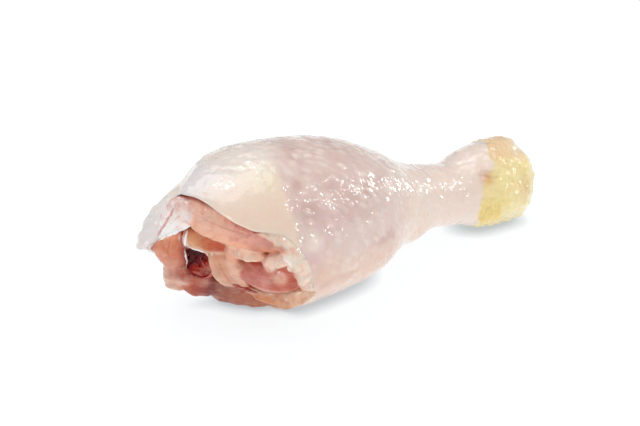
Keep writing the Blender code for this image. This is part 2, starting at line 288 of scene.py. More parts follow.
def wetShader(m, s, place, shade, relief, rippleLink={}):
    # relief is the node of the fine grain, and rippleLink may lead to the ripples' strength
    s = {**wetUsual, **s}
    drops = addNode(m, "TexNoise", {"Scale": 1 / (s["wetSize"] * mm), "Detail": s["wetDetail"],
                                    "Distortion": s["unevenness"]}, {"Vector": place})
    smoothest, roughest = s["rough"]
    rough = addNode(m, "MapRange", {"From Min": 0.35, "From Max": 0.65, "To Min": smoothest,
                                    "To Max": roughest}, {"Value": drops})
    bump = addNode(m, "Bump", {"Strength": s["bump"], "Distance": s["bumpDepth"] * mm}, {"Height": relief})
    film = addNode(m, "Bump", {"Strength": s["ripple"], "Distance": s["rippleDepth"] * mm},
                   {"Height": drops, "Normal": bump, **rippleLink})
    shader = addNode(m, "BsdfPrincipled", {
        "IOR": s["ior"], "Subsurface Weight": s["depth"], "Subsurface Radius": s["warmth"],
        "Subsurface Scale": s["reach"] * mm, "Coat Weight": s["film"],
        "Coat Roughness": s["filmRoughness"], "Coat IOR": s["filmIor"], "Specular IOR Level": s["gloss"],
    }, {"Base Color": shade, "Roughness": rough, "Normal": bump, "Coat Normal": film})
    addNode(m, "OutputMaterial", {}, {"Surface": shader})
    return m


# Chicken skin, raw and wet: thin and see-through over the red meat, so it goes from cream,
# where fat lies under it, to mauve, and round its follicles it stands in pale beads.
skinLook = {
    "cream": "#efdccb", "mottleSize": 5.0, "raggedness": 0.12, "fineSize": 0.8, "freckles": 0.5,
    # each tone over the cream: its colour, the field that says where it lies, and its strength
    "tones": [("#e3dab4", "green", 0.7), ("#dfc7bd", "blush", 1.0), ("#c9a79d", "bruise", 0.9),
              ("#d9aeb0", "purple", 0.8), ("#edd9cc", "shank", 1.0), ("#e6b697", "warm", 0.9),
              ("#e3dbd8", "grey", 1.0), ("#f2e2d4", "bead", 0.7), ("#f3dfa4", "yolk", 1.0),
              ("#eed07c", "deepYolk", 0.9), ("#ecc9a0", "tan", 0.9), ("#c98a50", "rust", 0.8),
              ("#b04a40", "blood", 0.9)],
    "wetSize": 3.0, "wetDetail": 0.6, "rough": (0.28, 0.48), "bump": 0.15, "bumpDepth": 0.2,
    "depth": 0.25, "reach": 2.2, "filmRoughness": 0.1, "ripple": 0.9, "rippleDepth": 0.9,
}


def makeWetSkin():
    s = skinLook
    m = newMaterial("raw chicken skin")
    place = addNode(m, "TexCoord", {}).outputs["Object"]
    mottle = addNode(m, "TexNoise", {"Scale": 1 / (s["mottleSize"] * mm), "Detail": 4.0}, {"Vector": place})
    fine = addNode(m, "TexNoise", {"Scale": 1 / (s["fineSize"] * mm), "Detail": 3.0}, {"Vector": place})
    ragged = addNode(m, "MapRange", {"From Min": 0.3, "From Max": 0.7, "To Min": -s["raggedness"],
                                     "To Max": s["raggedness"]}, {"Value": mottle})
    shade = None
    for tone, field, strength in s["tones"]:
        # a tone is laid where its field is strong, with an edge that the mottling breaks up
        mask = addNode(m, "Attribute", {"attribute_name": field}).outputs["Fac"]
        edge = addNode(m, "Math", {"operation": "MULTIPLY_ADD"}, {0: ragged, 1: mask, 2: mask})
        amount = addNode(m, "Math", {"operation": "MULTIPLY", "use_clamp": True, 1: strength}, {0: edge})
        mix = addNode(m, "Mix", {"data_type": "RGBA", 6: colour(s["cream"]), 7: colour(tone)},
                      {0: amount, **({6: shade} if shade else {})})
        shade = mix.outputs[2]
    freckle = addNode(m, "ValToRGB", {"stops": [(0.3, 0.94), (0.5, 1.0), (0.72, 1.04)]}, {0: fine})
    shade = addNode(m, "Mix", {"data_type": "RGBA", "blend_type": "MULTIPLY", 0: s["freckles"]},
                    {6: shade, 7: freckle}).outputs[2]
    # the film stands in ripples where the skin is creased
    creased = addNode(m, "Attribute", {"attribute_name": "creased"}).outputs["Fac"]
    ripple = addNode(m, "Math", {"operation": "MULTIPLY", 1: s["ripple"]}, {0: creased})
    return wetShader(m, s, place, shade, fine, {"Strength": ripple})


# Everything at the cut takes its colour from the field "tone", laid on with rampTone, and the
# material adds what is finer: the fibres, the stains and the film of water.
def makeTissue(name, s):
    m = newMaterial(name)
    place = addNode(m, "TexCoord", {}).outputs["Object"]
    laid = addNode(m, "Attribute", {"attribute_name": "tone"})
    shade = addNode(m, "HueSaturation", {"Saturation": s["richness"], "Value": s["light"]}, {"Color": laid})
    grain = addNode(m, "Attribute", {"attribute_name": "grain"}).outputs["Vector"]
    cloud = addNode(m, "TexNoise", {"Scale": 1 / (s["cloudSize"] * mm), "Detail": 3.0}, {"Vector": place})
    # the fibres are 8 mm long
    long = addNode(m, "Mapping", {"Scale": (1 / 8, 1 / s["fibre"], 1 / s["fibre"])}, {"Vector": grain})
    fibre = addNode(m, "TexNoise", {"Scale": 1.0, "Detail": 3.0, "Roughness": 0.6}, {"Vector": long})
    pale = addNode(m, "ValToRGB", {"stops": [(0.5, 0.0), (0.68, s["strands"])]}, {0: fibre})
    shade = addNode(m, "Mix", {"data_type": "RGBA", 7: colour(s["strandTone"])},
                    {0: pale, 6: shade}).outputs[2]
    dark = addNode(m, "ValToRGB", {"stops": [(0.32, s["stain"]), (0.5, 0.0)]}, {0: cloud})
    shade = addNode(m, "Mix", {"data_type": "RGBA", "blend_type": "MULTIPLY", 7: colour(s["stainTone"])},
                    {0: dark, 6: shade}).outputs[2]
    return wetShader(m, s, place, shade, fibre)


tissueLooks = {
    # raw muscle: fine fibres that run along it, with a see-through wet skin over them
    "muscle": {"richness": 1.12, "light": 1.02, "cloudSize": 3.0, "fibre": 0.6, "strands": 0.22,
               "strandTone": "#e8b8a2", "stain": 0.3, "stainTone": "#c8604a", "wetSize": 1.5,
               "depth": 0.5, "reach": 1.8, "ripple": 0.5, "filmRoughness": 0.06},
    # soft fat: waxy, with hardly any grain, and glassy where it is wet
    "fat": {"richness": 1.08, "light": 1.02, "cloudSize": 2.4, "fibre": 1.3, "strands": 0.2,
            "strandTone": "#f6dfcb", "stain": 0.25, "stainTone": "#e0a080", "wetSize": 1.7,
            "depth": 0.6, "reach": 2.0, "bump": 0.2, "filmRoughness": 0.07},
    # gristle: smooth, dense and a little glassy
    "cartilage": {"richness": 1.05, "light": 1.0, "cloudSize": 3.5, "fibre": 1.6, "strands": 0.15,
                  "strandTone": "#efccb0", "stain": 0.3, "stainTone": "#cf8560", "wetSize": 2.4,
                  "depth": 0.4, "reach": 1.6, "rough": (0.26, 0.44), "bump": 0.15, "film": 0.9},
    # a white sheet of tendon: silky along its run
    "sheath": {"richness": 0.95, "light": 1.08, "cloudSize": 3.0, "fibre": 0.7, "strands": 0.3,
               "strandTone": "#fbf7f4", "stain": 0.2, "stainTone": "#e2bcb2", "wetSize": 2.2,
               "depth": 0.35, "reach": 1.2, "rough": (0.24, 0.42), "ripple": 1.1},
}
tissues = {kind: makeTissue("raw " + kind, look) for kind, look in tissueLooks.items()}


def rampTone(stops, at):
    # the tone at each place of a run from 0 to 1, from stops that begin with place and colour
    places, tones, *_ = zip(*stops)
    shades = np.array([colour(tone)[:3] for tone in tones])
    return np.stack([np.interp(at, places, shades[:, k]) for k in range(3)], -1)


def blend(shade, hexCode, share):
    return shade + (np.array(colour(hexCode)[:3]) - shade) * np.clip(share, 0, 1)[:, None]


print("tools ready")

# The skin

skinShape = {
    # the leg's outline: x, middle y, middle z, half width, half height
    "outline": [
        (-48, 1.5, 27, 20, 20), (-36, 0.9, 27, 22.9, 22.9), (-24, 0.4, 26.6, 25.8, 26.6),
        (-12, 0, 26.9, 27.2, 27.9), (0, 0, 26.3, 26.8, 27.3), (12, 0, 25.1, 25.2, 26.1),
        (24, 0, 23.4, 22.8, 23.4), (36, 0, 22.6, 17.4, 17.4), (46, 0, 19.4, 14, 14),
        (56, 0, 18.2, 11.4, 11.2), (66, 0, 15.9, 10.9, 10.9), (76, 0, 15.1, 13.6, 13.8),
        (86, 0, 14.7, 14.4, 15.2), (92, 0, 14.4, 13.8, 15), (96, 0, 14.4, 11.8, 13),
        (99, 0, 14.2, 7, 8.6),
    ],
    # the cut's rim: angle, x of the rim, how far it lies inside the outline, x where it starts to roll in
    "mouth": [
        (0, -38, 2.4, -38.2), (20, -35.4, 1.2, -35.4), (45, -31.3, 0.7, -31.3),
        (57, -26.4, 0.5, -26.4), (64, -20, 0.3, -20), (71, -16, 0.3, -16),
        (80, -14.2, 0.3, -14.2), (92, -13.2, 0.3, -13.2), (106, -10.4, 0.4, -10.4),
        (122, -6.4, 0.8, -6.4), (142, -6, 1, -6), (162, -9, 0.5, -9),
        (182, -13.5, 0.5, -13.5), (205, -20.5, 0.5, -20.5), (226, -27, 1, -27),
        (240, -32, 1.8, -33), (249, -38.2, 4.8, -41.8), (257, -40.6, 7, -46.4),
        (270, -40, 9, -45.4), (285, -38.2, 10, -39.4), (300, -36.8, 9.8, -29.6),
        (320, -35.8, 8.2, -27), (340, -36.2, 6, -32),
    ],
    "roll": 9, "rollShare": 0.3, "thick": 1.5, "rimThick": 0.9, "flushThick": 0.35, "tipThick": 3.2,
    "scalesStart": 77.5, "scalesLean": 6, "scalesAngle": -30, "hockRim": 98, "overlap": 0.9,
    "around": 324, "rollRings": 40, "bodyRings": 166, "hockRings": 56, "rimRings": 6, "insideRings": 46,
    "unevenness": 0.45, "ripples": 0.14, "wrinkleHeight": 0.22, "ledge": 0.22,
    "beadHeight": 0.3, "beadLength": 4.4, "beadWidth": 3, "beadSlant": 0.55,
    "foldLumps": 0.95, "foldGrit": 0.4, "cuffFolds": 0.32, "cuffFoldPitch": 1.6, "cuffScales": 0.36,
    "cuffLumps": 0.45,
}


def legPoint(x, angle, inset):
    y, z, halfWidth, halfHeight = eased(skinShape["outline"], x).T
    turn = np.radians(angle)
    height = z + (halfHeight - inset) * np.cos(turn)
    # pressed flat on the floor
    return np.stack([x, y - (halfWidth - inset) * np.sin(turn), np.maximum(height, inset)], -1)


def mouthAt(angle):
    rows = skinShape["mouth"]
    before = [(row[0] - 360, *row[1:]) for row in rows[-2:]]
    after = [(row[0] + 360, *row[1:]) for row in rows[:2]]
    return eased([*before, *rows, *after], angle % 360).T


def scalesSeam(angle):
    s = skinShape
    return s["scalesStart"] + s["scalesLean"] * np.cos(np.radians(angle - s["scalesAngle"]))


def skinPoint(angle, t, depth, beyond=0.0):
    # t is 0 at the rim and 1 at the scales; beyond is how far a point lies past the rim, in mm
    s = skinShape
    rimX, rimInset, rollX = mouthAt(angle)
    start, end, share = rollX + s["roll"], scalesSeam(angle) + s["overlap"], s["rollShare"]
    w = np.clip(t / share, 0, 1)
    bends = np.array([(rimX, rimInset), (rollX, rimInset), (rollX, 0 * rimX), (start, 0 * rimX)])
    weights = [(1 - w) ** 3, 3 * w * (1 - w) ** 2, 3 * w**2 * (1 - w), w**3]
    x, inset = sum(bend * weight for bend, weight in zip(bends, weights))
    w = np.clip(w, 0.06, 1)                          # at the rim itself it may have no direction
    weights = [(1 - w) ** 2, 2 * w * (1 - w), w**2]
    ahead = sum((bends[k + 1] - bends[k]) * weights[k] for k in range(3))
    ahead = ahead / np.hypot(*ahead)
    inBody = t > share
    x = np.where(inBody, start + (end - start) * (t - share) / (1 - share), x)
    along, inwards = np.where(inBody, 1, ahead[0]), np.where(inBody, 0, ahead[1])
    x = x - beyond * along - depth * inwards
    return legPoint(x, angle, inset - beyond * inwards + depth * along)


def spot(points, x, angle, size):
    # 1 at a place on the leg, fading out over that size in mm
    middle = legPoint(np.array([x]), np.array([angle]), 0.0)[0]
    return np.exp(-(np.linalg.norm(points - middle, axis=1) / size) ** 2)


def spots(points, rows):
    # the strongest of some spots, each with x, angle, size and strength
    return np.max([strength * spot(points, x, angle, size) for x, angle, size, strength in rows], axis=0)


def groove(points, line, width):
    # 1 along a line of (x, angle) places on the leg
    line = splined(line, np.linspace(0, 1, 40))
    middles = legPoint(line[:, 0], line[:, 1], 0.0)
    nearest = np.full(len(points), 99.0)
    for middle in middles:
        nearest = np.minimum(nearest, np.linalg.norm(points - middle, axis=1))
    return np.exp(-(nearest / width) ** 2)


skinPlaces = {
    # (angle, x) along the end of the fat under the skin, and along the start of the yellow cuff
    "fatEnds": [(0, -6), (20, -12), (36, -13), (50, -13.6), (90, -14.4), (101, -12.5), (140, -2),
                (200, -6), (270, -20), (330, -12), (360, -6)],
    "cuffStarts": [(0, 83), (16, 80.5), (35, 79.5), (47, 75.5), (57, 72.5), (87, 71), (110, 71),
                   (131, 73), (200, 74), (300, 82), (349, 85), (360, 83)],
    # x, angle, size and strength of the spots in a tone
    "bruises": [(-7.5, 56, 4.5, 0.95), (8.5, 56, 8, 0.6), (13.5, 15, 8, 0.5), (3, 42, 5, 0.6),
                (1, 8, 8, 0.1), (34, 20, 6, 0.5), (50, 2, 9, 0.5)],
    "purples": [(-11, 89, 5, 0.8), (-3, 70, 6, 0.5)],
    "rusts": [(75.2, 51, 2.6, 0.8), (90, 84, 4.5, 0.4)],
    # x, angle and size of single ones
    "green": (-16.5, 27, 6.5), "warm": (-4, 106, 8), "tip": (93, 20, 5), "pimple": (-9, 76, 3),
    # x, angle, size and height of the rises
    "rises": [(-9, 76, 3.4, 0.8), (76, 57, 2.6, 0.8), (93, 14, 4, 0.9), (91, 50, 4.5, 0.7),
              (87, 92, 6, 0.6), (83, 20, 5, 0.4)],
    # the cuff's creases: a line of (x, angle) places, its depth and its width
    "creases": [([(95, 12), (92.6, 27), (90.4, 46), (89.5, 70)], 0.8, 1.9),
                ([(78, 72), (80, 89), (82.5, 115), (86, 147)], 0.5, 1.2),
                ([(73.4, 44), (75.2, 50), (78.5, 55)], 0.7, 0.7),
                ([(74.4, 40), (77.4, 47), (80.5, 50)], 0.5, 0.6),
                ([(82.5, 44), (84.5, 54), (84, 66)], 0.4, 0.7),
                ([(85, 40), (87, 52), (86.4, 62)], 0.35, 0.6),
                ([(96.4, 2), (96.2, 14), (95.5, 26)], 0.8, 1.5)],
}


def borderAt(name, angle):
    return np.interp(angle % 360, *zip(*skinPlaces[name]))       # x of a border at each angle


def skinFields(points, angle):
    # where each tone of the skin lies, from 0 to 1
    s = skinPlaces
    x = points[:, 0]
    turned = angleFrom(angle, 0)
    top = np.abs(turned)
    # fat lies under the skin near the cut, up to a slanting border that is sharper lower down
    wobble = roughNoise(points, 9, 31)
    soft = 1.1 + 3.4 * smooth(40, 5, top)
    fatty = 1 - smooth(-1.0, 1.0, (x - borderAt("fatEnds", angle) + 1.3 * wobble) / soft)
    shank = smooth(26, 46, x + 6 * wobble)
    blush = (1 - fatty) * (1 - 0.85 * shank)
    # the meat shows through most on top of the neck and in a few blotches
    onTop = 0.25 * hump(x, 8, 16) * smooth(70, 20, top)
    bruise = blush * smooth(0.15, 1.0, roughNoise(points, 8, 47) + onTop)
    bruise = np.maximum(bruise, spots(points, s["bruises"]) * (1 - 0.8 * fatty))
    purple = spots(points, s["purples"]) * (1 - 0.6 * fatty)
    green = fatty * spot(points, *s["green"])
    warm = smooth(8, -20, points[:, 2] - 24 + 5 * wobble) * (1 - smooth(30, 75, x)) * 0.85
    warm = np.maximum(warm, fatty * smooth(10, 50, angle % 360) * 0.3 * (angle % 360 < 130))
    warm = np.maximum(warm, 0.6 * spot(points, *s["warm"]))
    hood = smooth(-24, -36, x) * smooth(14, -14, angleFrom(angle, 12))
    grey = np.clip(hood + 0.5 * fatty * hump(top, 0, 30), 0, 1)
    yolk = smooth(-0.5, 1.3, x - borderAt("cuffStarts", angle) + 1.4 * roughNoise(points, 2.6, 5))
    deepYolk = yolk * (1 - smooth(79, 83, x + roughNoise(points, 3, 8))) * humpRound(angle, 110, 32)
    tan = yolk * smooth(46, 24, np.abs(angleFrom(angle, 2)) + 8 * roughNoise(points, 4, 9))
    tip = spot(points, *s["tip"])
    creased = (1 - 0.65 * fatty * smooth(18, 45, turned)) * (1 - 0.8 * smooth(80, 125, top))
    creased = np.maximum(creased, smooth(-31, -36, x) * smooth(-40, -60, turned))
    return {"creased": creased, "blush": blush, "bruise": bruise, "purple": purple, "green": green,
            "shank": shank * (1 - fatty), "warm": warm, "grey": np.clip(grey + 0.7 * tip, 0, 1),
            "yolk": yolk * (1 - 0.6 * tip), "deepYolk": deepYolk, "tan": tan * (1 - 0.7 * tip),
            "rust": spots(points, s["rusts"])}


def skinBeads(points, angle, fields):
    # beads of skin round the follicles, long and set in slanting rows
    s = skinShape
    _, _, wide, high = eased(s["outline"], points[:, 0]).T
    arc = np.radians(angleFrom(angle, 0)) * (wide + high) / 2
    along = (points[:, 0] + s["beadSlant"] * arc) / s["beadLength"]
    across = (arc - s["beadSlant"] * points[:, 0]) / s["beadWidth"]
    bead = smooth(0.0, 0.7, beads(np.stack([along, across, 0 * along], -1), 1.0, 7))
    strong = 0.55 + 0.6 * hump(points[:, 0], 10, 20) * humpRound(angle, 40, 38)
    bead = bead * smooth(-1.0, 0.6, roughNoise(points, 8, 53)) * strong
    bead = np.maximum(bead, 1.2 * spot(points, *skinPlaces["pimple"]))
    return bead * np.clip(0.1 + fields["blush"] - fields["yolk"] + 0.5 * fields["shank"], 0, 1)


def skinPush(points, angle, fields):
    s = skinShape
    x = points[:, 0]
    resting = smooth(0.0, 2.5, points[:, 2])         # no humps where it lies on the floor
    push = s["unevenness"] * roughNoise(points, 16, 3)
    ripples = roughNoise(points, (3.2, 4.2, 4.2), 14)
    push = push + s["ripples"] * ripples * (0.5 + 0.5 * fields["blush"])
    push = push + s["ledge"] * (1 - fields["blush"]) * (1 - fields["shank"]) * (1 - smooth(0, 20, x))
    push = push + s["beadHeight"] * fields["bead"]
    neck = hump(x, 44, 14) * humpRound(angle, 55, 45)
    push = push + s["wrinkleHeight"] * (0.3 + neck) * roughNoise(points, (1.7, 3.2, 3.2), 11, 2)
    # the torn fold over the knee is lumpy, and thickest at its tip
    fold = smooth(-31, -37, x) * smooth(225, 240, angle) * smooth(352, 335, angle)
    push = push + fold * (s["foldLumps"] * roughNoise(points, 4.6, 93)
                          + s["foldGrit"] * roughNoise(points, 1.9, 94))
    return (push + hockPush(points, angle, fields)) * resting


def hockPush(points, angle, fields):
    # folds and scales of the yellow cuff
    s = skinShape
    x = points[:, 0]
    lower = smooth(70.5, 72.5, x) * smooth(81, 79, x) * humpRound(angle, 112, 28)
    wave = np.sin((x + 0.9 * softNoise(points, 4, 19)) * 2 * np.pi / s["cuffFoldPitch"])
    push = s["cuffFolds"] * lower * wave
    scales = smooth(0.1, 0.7, beads(points, (2.6, 3.0, 3.0), 23))
    lumps = roughNoise(points, 5.5, 24) * smooth(78, 84, x)
    push = push + fields["yolk"] * (s["cuffScales"] * scales + s["cuffLumps"] * lumps)
    for line, depth, width in skinPlaces["creases"]:
        push = push - depth * groove(points, line, width)
    for x, turn, size, height in skinPlaces["rises"]:
        push = push + height * spot(points, x, turn, size)
    return push


def makeSkin():
    s = skinShape
    # the ring's path: along the outside from the scales to the rim, round it, and back inside
    body = np.linspace(1, s["rollShare"], s["bodyRings"], endpoint=False)
    roll = np.linspace(s["rollShare"], 0, s["rollRings"])
    half = np.linspace(0, np.pi, s["rimRings"] + 2)[1:-1]
    inside = np.linspace(0, 1, s["insideRings"])
    t = np.concatenate([body, roll, 0 * half, inside])
    depth = np.concatenate([0 * body, 0 * roll, (1 - np.cos(half)) / 2, 0 * inside + 1])
    beyond = np.concatenate([0 * body, 0 * roll, np.sin(half) / 2, 0 * inside])
    rings = len(t)

    def place(u, v):
        ring = np.round(u * rings).astype(int) % rings
        angle = v * 360
        thinner = 1 - smooth(0, s["rollShare"], t[ring])
        tip = humpRound(angle, 260, 20)
        flush = smooth(56, 68, angle) * smooth(150, 120, angle)      # where it passes into the fat
        atRim = (s["rimThick"] + (s["tipThick"] - s["rimThick"]) * tip
                 + (s["flushThick"] - s["rimThick"]) * flush)
        thick = s["thick"] + (atRim - s["thick"]) * thinner
        points = skinPoint(angle, t[ring], depth[ring] * thick, beyond[ring] * thick)
        outside = np.clip(1 - depth[ring] * 1.6, 0, 1)
        rim = 1 - smooth(0, 0.02, t[ring])
        return points, {"turn": angle, "outside": outside, "rimDepth": rim * depth[ring]}

    return finishSkin(wrappedGrid("smoothSkin", rings, s["around"], place))


def makeHockSkin():
    s = skinShape
    outside = np.linspace(0, 1, s["hockRings"])
    half = np.linspace(0, np.pi, s["rimRings"] + 2)[1:-1]
    inside = np.linspace(1, 0, s["insideRings"])
    t = np.concatenate([outside, 0 * half + 1, inside])
    depth = np.concatenate([0 * outside, (1 - np.cos(half)) / 2, 0 * inside + 1]) * s["thick"]
    rings = len(t)

    def place(u, v):
        ring = np.round(u * rings).astype(int) % rings
        angle = v * 360
        start = scalesSeam(angle)
        points = legPoint(start + (s["hockRim"] - start) * t[ring], angle, depth[ring])
        return points, {"turn": angle, "outside": np.clip(1 - depth[ring], 0, 1), "rimDepth": 0 * v}

    return finishSkin(wrappedGrid("scalySkin", rings, s["around"], place))


def finishSkin(piece):
    points = legPoints(piece)
    angle, outside, rimDepth = (getField(piece, name) for name in ("turn", "outside", "rimDepth"))
    fields = skinFields(points, angle)
    fields["bead"] = skinBeads(points, angle, fields) * outside
    turned = angleFrom(angle, 0)
    bloody = smooth(-45, -10, turned) * (smooth(52, 44, turned) + 0.5 * smooth(60, 54, turned)) / 1.5
    fields["blood"] = np.clip(1.6 * rimDepth, 0, 1) * bloody
    for name, values in fields.items():
        setField(piece.data, name, values)
    sculpt(piece, lambda p: skinPush(p, angle, fields) * outside)
    piece.data.set_sharp_from_angle(angle=math.radians(60))
    return piece


wetSkin = makeWetSkin()
smoothSkin = makeSkin()
finishPiece(smoothSkin, wetSkin, "skin", "skin")
scalySkin = makeHockSkin()
finishPiece(scalySkin, wetSkin, "scaly_skin", "hock_skin")
print("skin laid:", len(smoothSkin.data.polygons) + len(scalySkin.data.polygons), "faces")

# Soft pieces at the cut: what each has unless its own lines say otherwise
softUsual = {
    "fineness": 0.4, "faces": facing, "bluntness": 6, "squareness": 2.8, "widen": 1.08, "ragged": 0,
    "lumps": 0.35, "lumpSize": 4.0, "strandRelief": 0.1, "folds": 0.22, "grit": 0.08,
    # deep and its tone are painted crease shade, reddened like blood, laid on the sides that turn away from
    # the cut face
    "stain": 0.3, "stainTone": "#b4604c", "deep": 0.45, "creaseRedAndShadeTone": "#b0503f",
    "pale": 0.3, "paleTone": "#f0cbb8", "veins": 0.3, "veinTone": "#b04a38", "patches": [],
}


def softPiece(name, s):
    # an oval piece led along its rows: x, y, z, half width across the face, half depth into it
    s = {**softUsual, **s}
    seed = s["seed"]
    rows = np.array(s["rows"], float)
    length = np.linalg.norm(np.diff(rows[:, :3], axis=0), axis=1).sum()
    along = int(length / s["fineness"]) + 16
    around = max(24, int(5.5 * rows[:, 3:].max() / s["fineness"]))

    def squared(wave):
        return np.sign(wave) * np.abs(wave) ** (2 / s["squareness"])

    def place(u, v):
        w = (1 - np.cos(u * np.pi)) / 2              # rings crowd towards the blunt ends
        toEnd = np.abs(2 * w - 1)
        row = splined(rows, w)
        before, after = splined(rows, np.maximum(w - 0.02, 0)), splined(rows, np.minimum(w + 0.02, 1))
        ahead = unit((after - before)[:, :3])
        across = unit(np.cross(ahead, np.array(s["faces"])))
        out = np.cross(across, ahead)
        blunt = np.sqrt(np.clip(1 - toEnd ** s["bluntness"], 0, 1))
        angle = 2 * np.pi * v - np.pi / 2
        wide, deep = squared(np.cos(angle)), squared(np.sin(angle))
        halfWidth, halfDepth = row[:, 3] * s["widen"], row[:, 4]
        run = np.stack([w * length, 3 * np.sign(wide), 0 * w], -1)
        halfWidth = halfWidth * (1 + s["ragged"] * roughNoise(run, 2.2, seed + 40, 2))
        overhang = 0.5 * row[:, 3] * np.sign(2 * w - 1) * toEnd**6
        points = (row[:, :3] + ahead * overhang[:, None] + across * (halfWidth * blunt * wide)[:, None]
                  + out * (halfDepth * blunt * deep)[:, None])
        grain = np.stack([w * length, halfWidth * wide, halfDepth * deep], -1)
        return points, {"grain": grain, "run": w, "side": (wide + 1) / 2, "face": np.clip(deep, 0, 1)}

    piece = wrappedGrid(name, along, around, place)
    grain, run, side, face = (getField(piece, field) for field in ("grain", "run", "side", "face"))

    def push(points):
        lumps = s["lumps"] * roughNoise(points, s["lumpSize"], seed)
        strands = s["strandRelief"] * roughNoise(grain, (7, 0.9, 0.9), seed + 5, 2)
        folds = s["folds"] * (1 - np.abs(roughNoise(points, (4.5, 3.5, 3.5), seed + 60, 2))) ** 6
        return lumps + strands + folds + s["grit"] * roughNoise(points, 1.1, seed + 9, 2)

    sculpt(piece, push)
    points = legPoints(piece)
    wander = 0.1 * roughNoise(points, 3.5, seed + 20)
    shade = rampTone(s["along"], run + wander)
    edge = rampTone(s["edge"], side + wander)
    places, _, shares = zip(*s["edge"])
    shade = shade + (edge - shade) * np.interp(side + wander, places, shares)[:, None]
    stained = smooth(0.1, 0.6, roughNoise(points, 2.6, seed + 30))
    shade = blend(shade, s["stainTone"], s["stain"] * stained)
    # painted shade, reddened like blood: the sides of each piece that turn away from the cut face, into the
    # creases, are darker and redder
    shade = blend(shade, s["creaseRedAndShadeTone"], s["deep"] * (1 - face) ** 3)
    # paler and redder clouds, and thin red veins
    paler = smooth(0.1, 0.8, roughNoise(points, 3.4, seed + 33))
    shade = blend(shade, s["paleTone"], s["pale"] * paler)
    vein = smooth(0.9, 1.0, 1 - np.abs(roughNoise(points, 5.0, seed + 36, 2)))
    vein = vein * smooth(0, 0.5, softNoise(points, 4, seed + 38))
    shade = blend(shade, s["veinTone"], s["veins"] * vein)
    for x, y, z, size, tone, share in s["patches"]:
        far = np.linalg.norm(points - (x, y, z), axis=1) * (1 + 0.25 * roughNoise(points, 2.4, seed + 50))
        shade = blend(shade, tone, share * smooth(1.3 * size, 0.5 * size, far))
    setField(piece.data, "tone", shade)
    return piece


